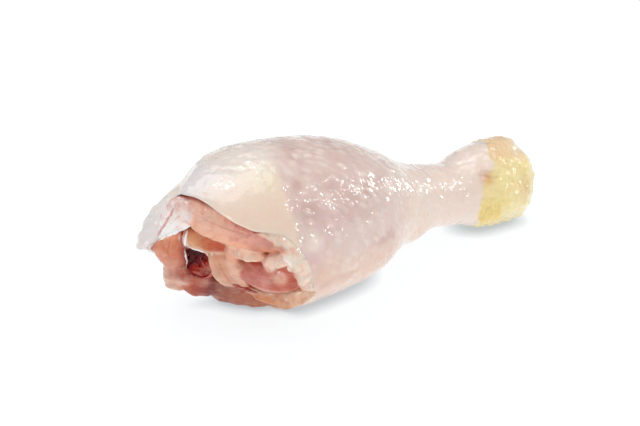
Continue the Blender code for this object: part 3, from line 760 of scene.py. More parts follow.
softPieces = {
    "kneeCartilage": {
        "node": "knee_cartilage", "slot": "cartilage", "seed": 3, "strandRelief": 0.03, "widen": 1.3,
        "rows": [(-33.6, 8.2, 27.6, 1.9, 2.2), (-32.4, 3.8, 29.2, 2.8, 2.8), (-30.4, 0.8, 29.2, 3, 2.8),
                 (-27.4, -1.6, 27.6, 2.5, 2.2), (-24.4, -4.2, 26.2, 1.6, 1.4)],
        "along": [(0, "#f8ece6"), (0.1, "#f3dccf"), (0.2, "#dba684"), (0.32, "#dba37a"), (0.42, "#d08a60"),
                  (0.58, "#c4603e"), (0.8, "#b54830"), (1, "#bd5640")],
        "edge": [(0, "#c4563a", 0.6), (0.3, "#d78c66", 0.2), (0.6, "#e0a987", 0), (0.95, "#f3dcc2", 0.75)],
        "stain": 0.6, "stainTone": "#c0532f",
    },
    "boneCartilage": {
        "node": "bone_cartilage", "slot": "cartilage", "seed": 4, "strandRelief": 0.03, "lumps": 0.2,
        "squareness": 3.4, "widen": 1.12,
        "rows": [(-26.8, 0.2, 24.4, 2.8, 2.2), (-25.3, -0.4, 20.4, 3.7, 2.8), (-23.2, -0.4, 15.8, 4.2, 2.9),
                 (-20.8, -0.4, 11.2, 3.2, 2.3)],
        "along": [(0, "#dba688"), (0.3, "#d49f84"), (0.7, "#cf9a80"), (1, "#c98e74")],
        "edge": [(0, "#cb8c74", 0.4), (0.3, "#dcae96", 0), (0.8, "#ddb097", 0.2), (0.97, "#ecc9b2", 0.6)],
        "stain": 0.25, "stainTone": "#c98a70",
    },
    "fatStem": {
        "node": "fat_stem", "slot": "fat", "seed": 5,
        "rows": [(-25.4, -5.4, 27.4, 1.6, 1.6), (-24, -5, 22.8, 2.1, 2.1), (-22.2, -4.4, 18.2, 2.2, 2.3),
                 (-20, -3.6, 13.8, 1.9, 2), (-18.7, -2.6, 10.2, 1.4, 1.2)],
        "along": [(0, "#e6ad92"), (0.5, "#e8b49c"), (0.85, "#dda085"), (1, "#c67c62")],
        "edge": [(0.05, "#d38a70", 0.5), (0.4, "#f3cdb8", 0), (0.95, "#d9957e", 0.4)],
    },
    "fatRollInner": {
        "node": "fat_roll_inner", "slot": "fat", "seed": 6, "widen": 1.2, "lumps": 0.5, "lumpSize": 3,
        "rows": [(-24.6, -4.8, 27.4, 2.2, 1.9), (-23.4, -8.6, 28.2, 2.9, 2.5), (-21.5, -12, 28, 2.9, 2.5),
                 (-19.6, -14.2, 26.6, 2, 2)],
        "along": [(0, "#efc3ab"), (0.5, "#f1c9b2"), (1, "#edbfa6")],
        "edge": [(0.02, "#cf7d66", 0.7), (0.25, "#f2cab3", 0), (0.95, "#f1c9b0", 0.3)],
    },
    "fatRollOuter": {
        "node": "fat_roll_outer", "slot": "fat", "seed": 7, "widen": 1.2, "lumps": 0.6, "lumpSize": 2.8,
        "rows": [(-17.4, -14.4, 22.4, 1.6, 1.8), (-17.6, -17, 25.3, 2.1, 2.3),
                 (-16.8, -20.2, 27.7, 2.1, 2.3), (-15.4, -22.8, 28.8, 1.9, 2),
                 (-13.8, -24.6, 28.6, 1.5, 1.5)],
        "along": [(0, "#eab8a4"), (0.3, "#f3ccb8"), (0.7, "#f6d8c6"), (1, "#f4d8c6")],
        "edge": [(0.02, "#cf8470", 0.7), (0.3, "#f4d0bc", 0), (0.95, "#f1cab6", 0.3)],
    },
    "fatLip": {
        "node": "fat_lip", "slot": "fat", "seed": 8, "lumps": 0.8, "lumpSize": 2.4,
        "rows": [(-20.8, -0.6, 12.8, 0.9, 1.2), (-18.4, -3.4, 10.8, 1.2, 1.6), (-15.6, -6.4, 8.6, 1.7, 2),
                 (-13.2, -9.4, 7.6, 2.3, 2), (-10.6, -13.8, 8, 2.8, 2.2), (-8.6, -18.4, 10.6, 2.7, 2),
                 (-7, -22, 12.8, 2.5, 1.8)],
        "along": [(0.02, "#a8281e"), (0.09, "#bd4a3a"), (0.16, "#cf7c62"), (0.3, "#d4947a"),
                  (0.5, "#d08c6a"), (0.62, "#dca584"), (0.8, "#ecc8ac"), (1, "#e8c2aa")],
        "edge": [(0.03, "#f0d0b4", 0.75), (0.35, "#e8bc9a", 0.15), (0.68, "#d49468", 0.4),
                 (0.95, "#c07c58", 0.65)],
        "stain": 0.45, "stainTone": "#cf7d50", "patches": [(-18, -5, 11.2, 1.8, "#a84634", 0.7)],
    },
    "fatSeam": {
        "node": "fat_seam", "slot": "fat", "seed": 9, "widen": 1, "lumps": 0.55, "lumpSize": 2.6,
        "faces": (-0.2, -0.95, 0.2), "ragged": 0.35, "squareness": 2.1,
        "rows": [(-26.3, -19.6, 40, 0.6, 0.8), (-24, -20.6, 39.2, 1.2, 1.1), (-21.2, -22, 37.6, 1.9, 1.4),
                 (-18.3, -23.4, 35.6, 2.8, 1.6), (-16.2, -24.6, 33, 3.2, 1.7), (-15, -25.5, 29.4, 3.3, 1.7),
                 (-13.6, -25.8, 25.6, 3, 1.6), (-12.2, -25.4, 21.6, 2.6, 1.5), (-9.8, -24.4, 18, 2.2, 1.4),
                 (-7, -23, 14.6, 1.8, 1.4)],
        "along": [(0, "#dba892"), (0.15, "#eac8b2"), (0.4, "#f4dcca"), (0.65, "#f4dcca"), (0.85, "#f0cebc"),
                  (1, "#eac2a8")],
        "edge": [(0.03, "#e8d2c6", 0.9), (0.3, "#f0d8c8", 0.2), (0.7, "#f2d6c0", 0),
                 (0.97, "#cc8468", 0.75)],
        "stainTone": "#dc9a84", "creaseRedAndShadeTone": "#cf8a74", "paleTone": "#f8e8da", "veins": 0.1,
        # the second patch is painted light: a near-white spot over the cream fat where the seam meets the
        # outer roll and faces down into shade
        "patches": [(-19.8, -24.4, 33.4, 1.7, "#cf8a7c", 0.75), (-18.2, -24.6, 28.6, 3.2, "#fdeee2", 0.9)],
    },
    "jointFat": {
        "node": "joint_fat", "slot": "fat", "seed": 10, "lumps": 1.1, "lumpSize": 2.8, "squareness": 2.6,
        "widen": 1.2,
        "rows": [(-32.4, 12.4, 16.6, 2.4, 2.1), (-33.2, 13.4, 13.2, 3.4, 2.8), (-33.2, 14, 9.8, 3.6, 3),
                 (-31.6, 14.2, 7.2, 2.9, 2.6)],
        "along": [(0.05, "#d89a80"), (0.3, "#c47c6c"), (0.55, "#deb0a0"), (0.9, "#d4947e")],
        "edge": [(0.05, "#ae5644", 0.6), (0.4, "#d79b88", 0), (0.95, "#ecc8b4", 0.7)],
        "stain": 0.7, "stainTone": "#b05a4a",
    },
    "topMuscle": {
        "node": "top_muscle", "slot": "muscle", "seed": 12, "widen": 1.3, "lumpSize": 7,
        "strandRelief": 0.07,
        "rows": [(-37, 4.2, 42.6, 3.2, 2), (-35.6, 0.4, 42.4, 4, 2.8), (-33.8, -2.8, 42, 5, 3.5),
                 (-30.9, -7.1, 40.3, 5.2, 3.9), (-26.9, -10.6, 38, 5, 3.7), (-22.4, -14.2, 36.4, 4.9, 3.2),
                 (-18.2, -17.6, 34.4, 4.4, 2.7), (-14.5, -20.8, 32, 3, 2)],
        "along": [(0, "#f0e0dc"), (0.12, "#eed2c8"), (0.26, "#eec2ae"), (0.5, "#ecb8a2"), (0.68, "#e4ae9e"),
                  (0.84, "#d89e96"), (1, "#cc8a82")],
        # the dark red of the upper edge, under the skin's rim, is partly blood and partly painted shadow
        "edge": [(0, "#9c3224", 0.9), (0.08, "#c87464", 0.5), (0.28, "#e2a896", 0.1),
                 (0.66, "#ebb69a", 0.1), (0.84, "#e8a070", 0.5), (1, "#cf7448", 0.8)],
        "stain": 0.12, "veins": 0.15, "patches": [(-38.2, -1.3, 40.8, 2.6, "#f5e8e4", 0.8)],
    },
    "shinMuscle": {
        "node": "shin_muscle", "slot": "muscle", "seed": 13, "squareness": 3.2, "lumps": 0.6, "widen": 1.15,
        "strandRelief": 0.15,
        "rows": [(-35.4, 10.4, 30.6, 3.2, 1.8), (-35, 12.6, 26.4, 4.3, 2.6), (-34.8, 14.2, 22, 4.5, 3.2),
                 (-33.6, 14.4, 17.6, 3.8, 3), (-31.6, 14, 13.4, 2.6, 2.2)],
        "along": [(0, "#dc9878"), (0.3, "#d88e70"), (0.55, "#d48c72"), (0.75, "#d8a08c"), (1, "#d8a898")],
        "edge": [(0, "#8d2c1e", 0.9), (0.1, "#b04a30", 0.7), (0.3, "#cc7050", 0.3), (0.72, "#e09070", 0.1),
                 (1, "#ebb09c", 0.6)],
        "stain": 0.4, "stainTone": "#c8644a",
    },
    "calfMuscle": {
        "node": "calf_muscle", "slot": "muscle", "seed": 14, "widen": 1.25, "lumps": 0.3,
        "strandRelief": 0.28,
        "rows": [(-21, -4.8, 20.8, 2.3, 2.2), (-19.4, -7.4, 19.2, 3.5, 3), (-16.9, -11, 18.4, 4.4, 3.6),
                 (-14, -15.4, 18.6, 4.5, 3.6), (-11.2, -19.4, 19.4, 3.5, 2.8),
                 (-8.4, -22.2, 18.8, 2.2, 1.8)],
        "along": [(0, "#b05648"), (0.12, "#c47266"), (0.35, "#ce847a"), (0.55, "#d89488"), (0.7, "#cd7c68"),
                  (0.85, "#bd5d48"), (1, "#c07054")],
        "edge": [(0, "#a83c2a", 0.95), (0.22, "#c06a56", 0.45), (0.6, "#d89886", 0),
                 (0.95, "#c06858", 0.5)],
        "stainTone": "#b9594a",
        "patches": [(-16, -19, 19.6, 2.3, "#e8bba6", 0.85), (-17, -17, 14.9, 2.4, "#b4553e", 0.7),
                    (-15, -10, 16, 2.5, "#dc9c90", 0.5), (-18.4, -17.4, 22.4, 2.2, "#e0a494", 0.6)],
    },
    "soleMuscle": {
        "node": "sole_muscle", "slot": "muscle", "seed": 15, "lumps": 0.7, "lumpSize": 2.8, "widen": 1.2,
        "rows": [(-31.2, 12, 11.4, 2.8, 2.2), (-29.2, 11.2, 9.8, 3.9, 3.2), (-26.2, 10, 8, 3.9, 3.2),
                 (-22.8, 8.4, 6.4, 2.9, 2.4)],
        "along": [(0, "#c07660"), (0.35, "#b05844"), (0.62, "#a05040"), (0.8, "#803430"), (1, "#803638")],
        "edge": [(0, "#d08a72", 0.5), (0.5, "#b9604e", 0), (0.97, "#8c3028", 0.6)],
        "stain": 0.6, "stainTone": "#842f2a",
    },
    "heelMuscle": {
        "node": "heel_muscle", "slot": "muscle", "seed": 16, "widen": 1.4,
        "rows": [(-23.4, 11, 4.6, 2, 2), (-21.4, 7.4, 5.2, 3, 2.7), (-18.8, 3.4, 5.3, 3.1, 2.7),
                 (-15.6, -1, 4.6, 2.5, 2.3), (-12.2, -5.6, 3.6, 1.8, 1.8)],
        "along": [(0, "#80443a"), (0.35, "#965848"), (0.7, "#b07058"), (1, "#b87a5a")],
        "edge": [(0, "#a7614c", 0.5), (0.5, "#b57565", 0), (0.95, "#8f4a3e", 0.6)],
        "stain": 0.2,
    },
    "tendonSheath": {
        "node": "sheath", "slot": "sheath", "seed": 11, "widen": 1.1, "squareness": 3, "lumps": 0.3,
        "strandRelief": 0.12, "bluntness": 10,
        "rows": [(-39.4, 13.4, 27, 0.9, 0.7), (-39, 10.7, 30.6, 2.1, 1.1), (-38.6, 7.3, 34.4, 3.3, 1.3),
                 (-38.1, 3.7, 38.2, 4.3, 1.4), (-37.4, 0.6, 41.4, 4.6, 1.4), (-36.8, -1.6, 43.8, 3.6, 1.2)],
        "along": [(0, "#f4e8e4"), (0.3, "#f4ebe7"), (0.6, "#f0e4df"), (0.8, "#ebd6ce"), (1, "#e2c0b6")],
        "edge": [(0, "#d08c8a", 0.7), (0.06, "#e2b0ac", 0.35), (0.15, "#f0e4de", 0), (0.75, "#f2e8e3", 0.1),
                 (0.92, "#fbf4f1", 0.9), (1, "#f6d9cd", 0.9)],
        "stain": 0.2, "stainTone": "#e2c0b8", "creaseRedAndShadeTone": "#d99a88", "paleTone": "#f8f0ee", "veins": 0.1,
        "patches": [(-40.9, 9.4, 33.6, 2.4, "#fbf6f4", 0.6)],
    },
}

softObjects = {}
for name, s in softPieces.items():
    softObjects[name] = softPiece(name, s)
    finishPiece(softObjects[name], tissues[s["slot"]], s["slot"], s["node"])
print("soft pieces laid:", len(softObjects))

# Bone and marrow

boneShape = {
    "rows": [(-30.2, 6.6, 18.3, 5.9), (-24, 5.6, 18.6, 5.3), (-12, 3.6, 19.2, 4.2), (20, 0.8, 19.4, 3.7),
             (50, 0, 17.6, 3.8), (68, 0, 15.6, 5.2), (82, 0, 14.6, 8), (92, 0, 14.4, 8.8),
             (96, 0, 14.3, 7.4), (98.5, 0, 14.2, 4.4)],
    "slant": 0.45, "wall": 0.95, "canalDepth": 9, "canalTaper": 0.05, "rimBulge": 0.25, "sawnLength": 26,
    "around": 120, "outerRings": 90, "rimRings": 10, "canalRings": 22, "grit": 0.16, "unevenness": 0.25,
    # round the sawn rim, from the top over the near side: dense and white above, bloody below
    "rim": [(0, "#f6e4dc"), (0.1, "#f3dcd2"), (0.2, "#e2a392"), (0.35, "#c06058"), (0.5, "#8d2f2c"),
            (0.58, "#9c403a"), (0.66, "#dba69c"), (0.74, "#f0d8d0"), (0.9, "#f5e2da"), (1, "#f6e4dc")],
    "inside": "#8c1f20", "knob": "#ebe6e2",
}


def bonePoint(x, angle, radius, sawn):
    # sawn is 1 at the saw's cut, which turns to the near side, and 0 further in
    y, z, _ = eased(boneShape["rows"], x).T
    aside = -radius * np.sin(np.radians(angle))
    slanted = x - boneShape["slant"] * sawn * aside
    return np.stack([slanted, y + aside, z + radius * np.cos(np.radians(angle))], -1)


def makeBone():
    s = boneShape
    first, last = s["rows"][0][0], s["rows"][-1][0]
    outer = last + (first - last) * np.linspace(0, 1, s["outerRings"]) ** 0.8
    cut = np.linspace(0, 1, s["rimRings"])
    canal = np.linspace(0, s["canalDepth"], s["canalRings"])
    x = np.concatenate([[last], outer, 0 * cut + first, first + canal, [first + s["canalDepth"]]])
    radius = eased(s["rows"], outer)[:, 2]
    rim = radius[-1]
    canalRadius = rim - s["wall"] - s["canalTaper"] * canal
    ringRadius = np.concatenate([[0], radius, rim - s["wall"] * cut, canalRadius, [0]])
    # the sawn edge is a little rounded
    bulge = np.concatenate([[0], 0 * outer, s["rimBulge"] * np.sin(np.pi * cut), 0 * canal, [0]])
    where = np.concatenate([[0], 0 * outer, cut, 1 + 0 * canal, [1]])
    nearCut = smooth(first + s["sawnLength"], first, outer) ** 2
    sawn = np.concatenate([[0], nearCut, 0 * cut + 1, 1 - canal / 30, [0.7]])
    rings = len(x) - 1

    def place(u, v):
        ring = np.round(u * rings).astype(int)
        points = bonePoint(x[ring], v * 360, ringRadius[ring], sawn[ring])
        points[:, 0] -= bulge[ring]
        shade = rampTone(s["rim"], v)
        shade = blend(shade, s["inside"], smooth(0.45, 1.0, where[ring] + 0.2 * softNoise(points, 1.6, 25)))
        shade = blend(shade, s["knob"], smooth(40, 70, x[ring]))
        grain = np.stack([x[ring], np.cos(v * 2 * np.pi) * 5, np.sin(v * 2 * np.pi) * 5], -1)
        return points, {"grain": grain, "tone": shade}

    piece = wrappedGrid("sawnBone", rings, s["around"], place)
    sculpt(piece, lambda p: s["grit"] * roughNoise(p, 2.0, 21) + s["unevenness"] * roughNoise(p, 9, 22, 2))
    return piece


# Sawn leg bone: dense and dry-looking beside the flesh, with a thin film of juice
boneLook = {"richness": 1.1, "light": 1.0, "cloudSize": 1.2, "fibre": 2.2, "strands": 0.12,
            "strandTone": "#faf1ec", "stain": 0.15, "stainTone": "#d08070", "wetSize": 1.0,
            "depth": 0.25, "reach": 0.8, "rough": (0.34, 0.52), "bump": 0.2, "film": 0.6,
            "filmRoughness": 0.15, "ripple": 0.4}
sawnBone = makeBone()
finishPiece(sawnBone, makeTissue("sawn leg bone", boneLook), "bone", "bone")

marrowShape = {
    "recess": 0.3, "radius": 5.15, "length": 12, "around": 110, "faceRings": 50, "sideRings": 20,
    "pit": 1.4, "swell": 0.5, "lumps": 0.7, "pores": 0.25, "rimTone": "#b8645a",
    "tones": [(0, "#44050a"), (0.35, "#640a0f"), (0.6, "#8a2425"), (0.8, "#a8544e"), (1, "#c88a82")],
}


def makeMarrow():
    s = marrowShape
    first, middleY, middleZ, _ = boneShape["rows"][0]
    front = first + s["recess"]
    face = np.linspace(0, 1, s["faceRings"])
    side = np.linspace(0, 1, s["sideRings"])[1:]
    radius = np.concatenate([s["radius"] * face, s["radius"] * (1 - 0.3 * side), [0]])
    x = np.concatenate([0 * face + front, front + s["length"] * side, [front + s["length"]]])
    pit = np.concatenate([1 - face**2, 0 * side, [0]])
    rings = len(x) - 1

    def place(u, v):
        ring = np.round(u * rings).astype(int)
        points = bonePoint(x[ring], v * 360, radius[ring], 0 * u + 1)
        # spongy and pale towards the lower near side, hollowed and dark above
        aside, below = middleY - points[:, 1], middleZ - points[:, 2]
        spongy = smooth(-3.6, 4.4, aside * 0.8 + below * 0.7 + 1.2 * softNoise(points, 2.2, 63))
        points[:, 0] += pit[ring] * (s["pit"] * (1.2 - spongy) - s["swell"] * spongy)
        shade = rampTone(s["tones"], spongy + 0.25 * roughNoise(points, 1.3, 64))
        shade = blend(shade, s["rimTone"], smooth(0.86, 1.0, radius[ring] / s["radius"]) * 0.6)
        return points, {"grain": points, "tone": shade}

    piece = wrappedGrid("redMarrow", rings, s["around"], place)
    sculpt(piece, lambda p: s["lumps"] * roughNoise(p, 1.9, 61) - s["pores"] * beads(p, 1.4, 62))
    return piece


# Raw marrow: dark, soft and very wet
marrowLook = {"richness": 1.25, "light": 0.95, "cloudSize": 1.3, "fibre": 1.0, "strands": 0.12,
              "strandTone": "#b0564c", "stain": 0.5, "stainTone": "#6a2020", "wetSize": 1.0,
              "depth": 0.1, "reach": 0.8, "rough": (0.22, 0.4), "film": 0.3, "filmRoughness": 0.06,
              "gloss": 0.1}
redMarrow = makeMarrow()
finishPiece(redMarrow, makeTissue("raw marrow", marrowLook), "marrow", "marrow")
print("bone and marrow laid")

# The meat under the skin, and what joins the pieces
meatShape = {
    "under": 0.15, "deepest": (-22.0, 5.5, 18.0), "hockZ": 14.2, "hockInset": 0.3,
    "fallsBack": 1.8, "fuller": 2.8, "around": 120, "hockRings": 16, "wallRings": 70, "faceRings": 26,
    "tones": [(0, "#a3463a"), (0.5, "#b55a4a"), (1, "#c4705c")], "gristle": "#efd3c6",
}


def makeMeat():
    # the meat inside the skin: the hock's end, the wall, and a cut face that falls back a little
    s = meatShape
    depth = skinShape["thick"] - s["under"]
    share = skinShape["rollShare"]
    hockEnd = skinShape["hockRim"] - s["hockInset"]
    deepest = np.array(s["deepest"])
    hock = np.linspace(1, 0, s["hockRings"])
    wall = np.linspace(1, share * 0.45, s["wallRings"])
    face = np.linspace(0, 1, s["faceRings"])[1:]
    rings = len(hock) + len(wall) + len(face)

    def part(values, ring, before):
        return values[np.clip(ring - 1 - before, 0, len(values) - 1)]

    def place(u, v):
        ring = np.round(u * rings).astype(int)
        angle = v * 360
        inward = depth + 0 * v
        rimX, _, rollX = mouthAt(angle)
        start = scalesSeam(angle)
        points = legPoint(start + (hockEnd - start) * part(hock, ring, 0), angle, inward)
        points[ring == 0] = (hockEnd, 0, s["hockZ"])
        farSide = humpRound(angle, 272, 50)
        folded = np.clip(0.45 - 0.2 * farSide + 0.1 * np.maximum(0, rimX - rollX), 0, 1) * share
        onWall = ring > len(hock)
        t = np.maximum(part(wall, ring, len(hock)), folded)
        points[onWall] = skinPoint(angle, t, inward)[onWall]
        rim = skinPoint(angle, folded, inward)
        onFace = ring > len(hock) + len(wall)
        f = part(face, ring, len(hock) + len(wall))[:, None]
        # it is fuller behind the fold
        fuller = s["fuller"] * farSide[:, None] * np.sin(np.pi * np.clip(f / 0.3, 0, 1))
        faced = rim + (deepest - rim) * f + facing * (s["fallsBack"] * np.sin(np.pi * f) + fuller)
        points[onFace] = faced[onFace]
        shade = rampTone(s["tones"], 0.5 + 0.5 * roughNoise(points, 5, 66))
        shade = blend(shade, s["gristle"], 0.95 * smooth(80, 90, points[:, 0]))
        return points, {"grain": points, "tone": shade}

    return wrappedGrid("meat", rings, s["around"], place)


def joined(name, pieces):
    bm = bmesh.new()
    for piece in pieces:
        bm.from_mesh(piece.data)
    return addObject(name, meshFrom(bm, name))


def pointTree(places):
    tree = KDTree(len(places))
    for index, place in enumerate(places):
        tree.insert(place, index)
    tree.balance()
    return tree


def nearestTones(points, pieces, count=6):
    # the tone and the grain at each point, from the nearest points of the pieces
    tones = np.vstack([getField(piece, "tone") for piece in pieces])
    grains = np.vstack([getField(piece, "grain") for piece in pieces])
    tree = pointTree(np.vstack([legPoints(piece) for piece in pieces]))
    found = [tree.find_n(point, count) for point in points]
    index = np.array([[near[1] for near in row] for row in found])
    distance = np.array([[near[2] for near in row] for row in found])
    weight = 1 / (distance + 0.15) ** 2
    weight = weight / weight.sum(axis=1, keepdims=True)
    return (tones[index] * weight[:, :, None]).sum(axis=1), grains[index[:, 0]], distance[:, 0]


connectiveShape = {
    "voxel": 0.45, "relax": 9, "proud": 0.08, "back": -2.0, "creaseBloodAndShadeTone": "#a03424",
    "pebbles": 0.14, "strands": 0.12, "bloodAndRimShadowTone": "#8f2418", "blood": 0.85, "bloodReach": 1.9,
    "bloodFull": 0.6, "bloodFrom": 345, "bloodTo": 58, "bloodBack": 5,
}


def makeConnective(pieces):
    # a wet film of connective tissue: one smooth skin over meat and pieces together, sunk a
    # little, so that it shows where it fills the creases between them
    s = connectiveShape
    film = joined("connective", pieces)
    cut = bmesh.new()
    cut.from_mesh(film.data)
    found = bmesh.ops.bisect_plane(cut, geom=[*cut.verts, *cut.edges, *cut.faces], dist=0.0001 * mm,
                                   plane_co=((s["back"] + kneeShift) * mm, 0, 0), plane_no=(1, 0, 0),
                                   clear_outer=True)
    rim = [e for e in found["geom_cut"] if isinstance(e, bmesh.types.BMEdge)]
    bmesh.ops.holes_fill(cut, edges=rim, sides=0)
    cut.to_mesh(film.data)
    cut.free()
    remesh = film.modifiers.new("fuse", "REMESH")
    remesh.mode = "VOXEL"
    remesh.voxel_size = s["voxel"] * mm
    relax = film.modifiers.new("relax", "SMOOTH")
    relax.factor = 0.5
    relax.iterations = s["relax"]
    fused = bpy.data.meshes.new_from_object(film.evaluated_get(bpy.context.evaluated_depsgraph_get()))
    film.modifiers.clear()
    film.data = fused
    shade, grain, distance = nearestTones(legPoints(film), pieces)
    # partly the red of blood and partly painted shade: the film is darker and redder where it lies deep in
    # the creases, far from the pieces
    setField(fused, "tone", blend(shade, s["creaseBloodAndShadeTone"], 0.75 * smooth(0.25, 1.3, distance)))
    setField(fused, "grain", grain)
    strands = s["strands"] * roughNoise(grain, (6, 0.8, 0.8), 74, 2)
    sculpt(film, lambda p: s["proud"] + s["pebbles"] * roughNoise(p, 1.3, 72, 2) + strands)
    fused.shade_smooth()
    return film


def bleedAndRimShadow(pieces, skin):
    # blood and juice gather where the flesh meets the skin's edge, from the top to the near side, and the
    # dark red band laid there is also painted shadow under the skin's edge
    s = connectiveShape
    turn = getField(skin, "turn")
    turned = (turn > s["bloodFrom"]) | (turn < s["bloodTo"])
    places = readPoints(skin.data)[(getField(skin, "outside") < 0.5) & turned] / mm
    tree = pointTree(places[places[:, 0] - kneeShift < s["bloodBack"]])
    for piece in pieces:
        distance = np.array([tree.find(point)[2] for point in readPoints(piece.data) / mm])
        # partly blood and partly painted shadow: the flesh is darkened red close to the skin's inner edge
        bloody = s["blood"] * smooth(s["bloodReach"], s["bloodFull"], distance)
        setField(piece.data, "tone", blend(getField(piece, "tone"), s["bloodAndRimShadowTone"], bloody))


meat = makeMeat()
finishPiece(meat, tissues["muscle"], "muscle", "flesh")
connective = makeConnective([meat, *softObjects.values()])
finishPiece(connective, tissues["muscle"], "muscle")
bleedAndRimShadow([connective, *softObjects.values()], smoothSkin)
print("meat and connective tissue laid:", len(connective.data.polygons), "faces")

# Threads on the cut face
threadUsual = {"step": 0.35, "wander": 0.25, "around": 10, "dropFrom": 9, "dropTo": 13}


def makeThreads(name, s, grounds):
    # thin threads and edges that lie on the face: each is dropped onto it from the front
    s = {**threadUsual, **s}
    bm = bmesh.new()
    for ground in grounds:
        bm.from_mesh(ground.data)
    surface = BVHTree.FromBMesh(bm)
    bm.free()
    toFace = Vector(-facing).normalized()
    threads = []
    for number, line in enumerate(s["lines"]):
        rows = np.array(line, float)
        length = np.linalg.norm(np.diff(rows[:, :3], axis=0), axis=1).sum()
        steps = max(12, int(length / s["step"]))
        centre = splined(rows, np.linspace(0, 1, steps + 1))
        wander = [softNoise(centre[:, :3], 2.5, 81 + k + number) for k in range(3)]
        centre[:, :3] += s["wander"] * np.stack(wander, -1)
        for point in centre:
            start = Vector(point[:3] + (kneeShift, 0, 0)) * mm - toFace * s["dropFrom"] * mm
            hit = surface.ray_cast(start, toFace, (s["dropFrom"] + s["dropTo"]) * mm)[0]
            if hit:
                lift = np.array(toFace) * (s["lift"] * point[3])
                point[:3] = np.array(hit) / mm - (kneeShift, 0, 0) - lift
        middle = centre.copy()
        middle[1:-1, :3] = (centre[:-2, :3] + 2 * centre[1:-1, :3] + centre[2:, :3]) / 4

        def place(u, v):
            index = np.round(u * steps).astype(int)
            row = middle[index]
            ahead = unit(middle[np.minimum(index + 1, steps), :3] - middle[np.maximum(index - 1, 0), :3])
            across = unit(np.cross(ahead, facing))
            out = np.cross(across, ahead)
            blunt = np.sqrt(np.clip(1 - np.abs(2 * u - 1) ** 8, 0, 1)) * row[:, 3]
            angle = 2 * np.pi * v
            points = (row[:, :3] + across * (blunt * np.cos(angle))[:, None]
                      + out * (blunt * s["flat"] * np.sin(angle))[:, None])
            shade = rampTone(s["tones"], 0.5 + 0.5 * roughNoise(points, 2.2, 90 + number))
            return points, {"grain": points, "tone": shade}

        threads.append(wrappedGrid(name + str(number), steps, s["around"], place))
    together = joined(name, threads)
    for thread in threads:
        bpy.data.objects.remove(thread)
    together.data.shade_smooth()
    return together


threadLooks = {
    # white tendon: the curled rim of the sheath, the line beside the bone, the arc over it
    "tendonThreads": {
        "slot": "sheath", "lift": -0.35, "flat": 0.8,
        "tones": [(0.2, "#ecd0c8"), (0.6, "#f6e8e3"), (0.9, "#fdf6f3")],
        "lines": [
            [(-39.8, 14.2, 25.2, 0.25), (-39.2, 12.4, 27.2, 0.45), (-38.4, 9.6, 29.6, 0.5),
             (-37.5, 6, 32.3, 0.5), (-36.4, 3, 34.4, 0.45), (-35.2, -0.2, 36.8, 0.2)],
            [(-35.7, 3, 33, 0.4), (-34.9, 4.6, 29.4, 0.6), (-34.2, 5.9, 26.4, 0.5),
             (-33.8, 6.6, 25, 0.2)],
            # the bone's white edge, left of the marrow
            [(-34, 7, 26.2, 0.3), (-33.5, 8.2, 24.2, 0.42), (-33, 9.1, 22.2, 0.42),
             (-32.3, 9.9, 19.4, 0.45), (-31.8, 10.6, 16.9, 0.35), (-31.5, 10.9, 15.2, 0.1)],
            [(-34, 6.6, 25, 0.2), (-33.4, 4.2, 26.4, 0.32), (-31.9, 1.8, 26.4, 0.34),
             (-30.4, 0.2, 25.2, 0.28), (-28.9, -0.8, 23, 0.15)],
        ],
    },
    # pale strands across the marrow
    "marrowStrands": {
        "slot": "marrow", "lift": -0.2, "flat": 0.7,
        "tones": [(0.2, "#a05044"), (0.6, "#b86e62"), (0.9, "#cc9084")],
        "lines": [
            [(-30, 6.2, 20.4, 0.06), (-29.4, 4.6, 17.6, 0.14), (-28.4, 2.6, 15, 0.1)],
            [(-30.8, 8.2, 17, 0.06), (-29.6, 5.4, 16, 0.14), (-28.2, 2.2, 17.4, 0.1)],
            [(-30.2, 6.8, 14.6, 0.06), (-29, 4.2, 15.2, 0.14), (-28, 2, 19.2, 0.1)],
            [(-29.2, 4.4, 20.6, 0.06), (-28.6, 3.4, 18.6, 0.1), (-28.2, 2.6, 16.6, 0.08)],
        ],
    },
    # the pink crease between the fold and the sheath
    "foldCrease": {
        "slot": "sheath", "lift": -0.55, "flat": 0.7,
        "tones": [(0.2, "#c0706e"), (0.6, "#d4908c"), (0.9, "#deaaa4")],
        "lines": [
            [(-40, 1.6, 43.4, 0.2), (-39.9, 3.8, 40.3, 0.55), (-39.8, 7.3, 35.7, 0.6),
             (-39.7, 10.8, 31, 0.5), (-39.6, 13.8, 27, 0.2)],
        ],
    },
    # lines of blood in the deepest creases
    "bloodLines": {
        "slot": "marrow", "lift": -0.35, "flat": 0.8,
        "tones": [(0.2, "#8c2a20"), (0.6, "#a83c30"), (0.9, "#b85446")],
        "lines": [
            [(-36.5, 4.4, 32, 0.3), (-35.5, 6.1, 28.6, 0.65), (-34.4, 8, 23.8, 0.55),
             (-33.3, 10, 18.8, 0.2)],
            [(-20.8, -0.2, 12.2, 0.5), (-19.6, -2.4, 11, 1.05), (-17.9, -4.8, 10, 0.6),
             (-16.2, -7.2, 9.5, 0.2)],
        ],
    },
}
grounds = [connective, sawnBone, redMarrow, *softObjects.values()]
for name, s in threadLooks.items():
    tissue = tissues["sheath" if s["slot"] == "sheath" else "fat"]
    finishPiece(makeThreads(name, s, grounds), tissue, s["slot"])
print("threads laid")

# Floor, light and camera

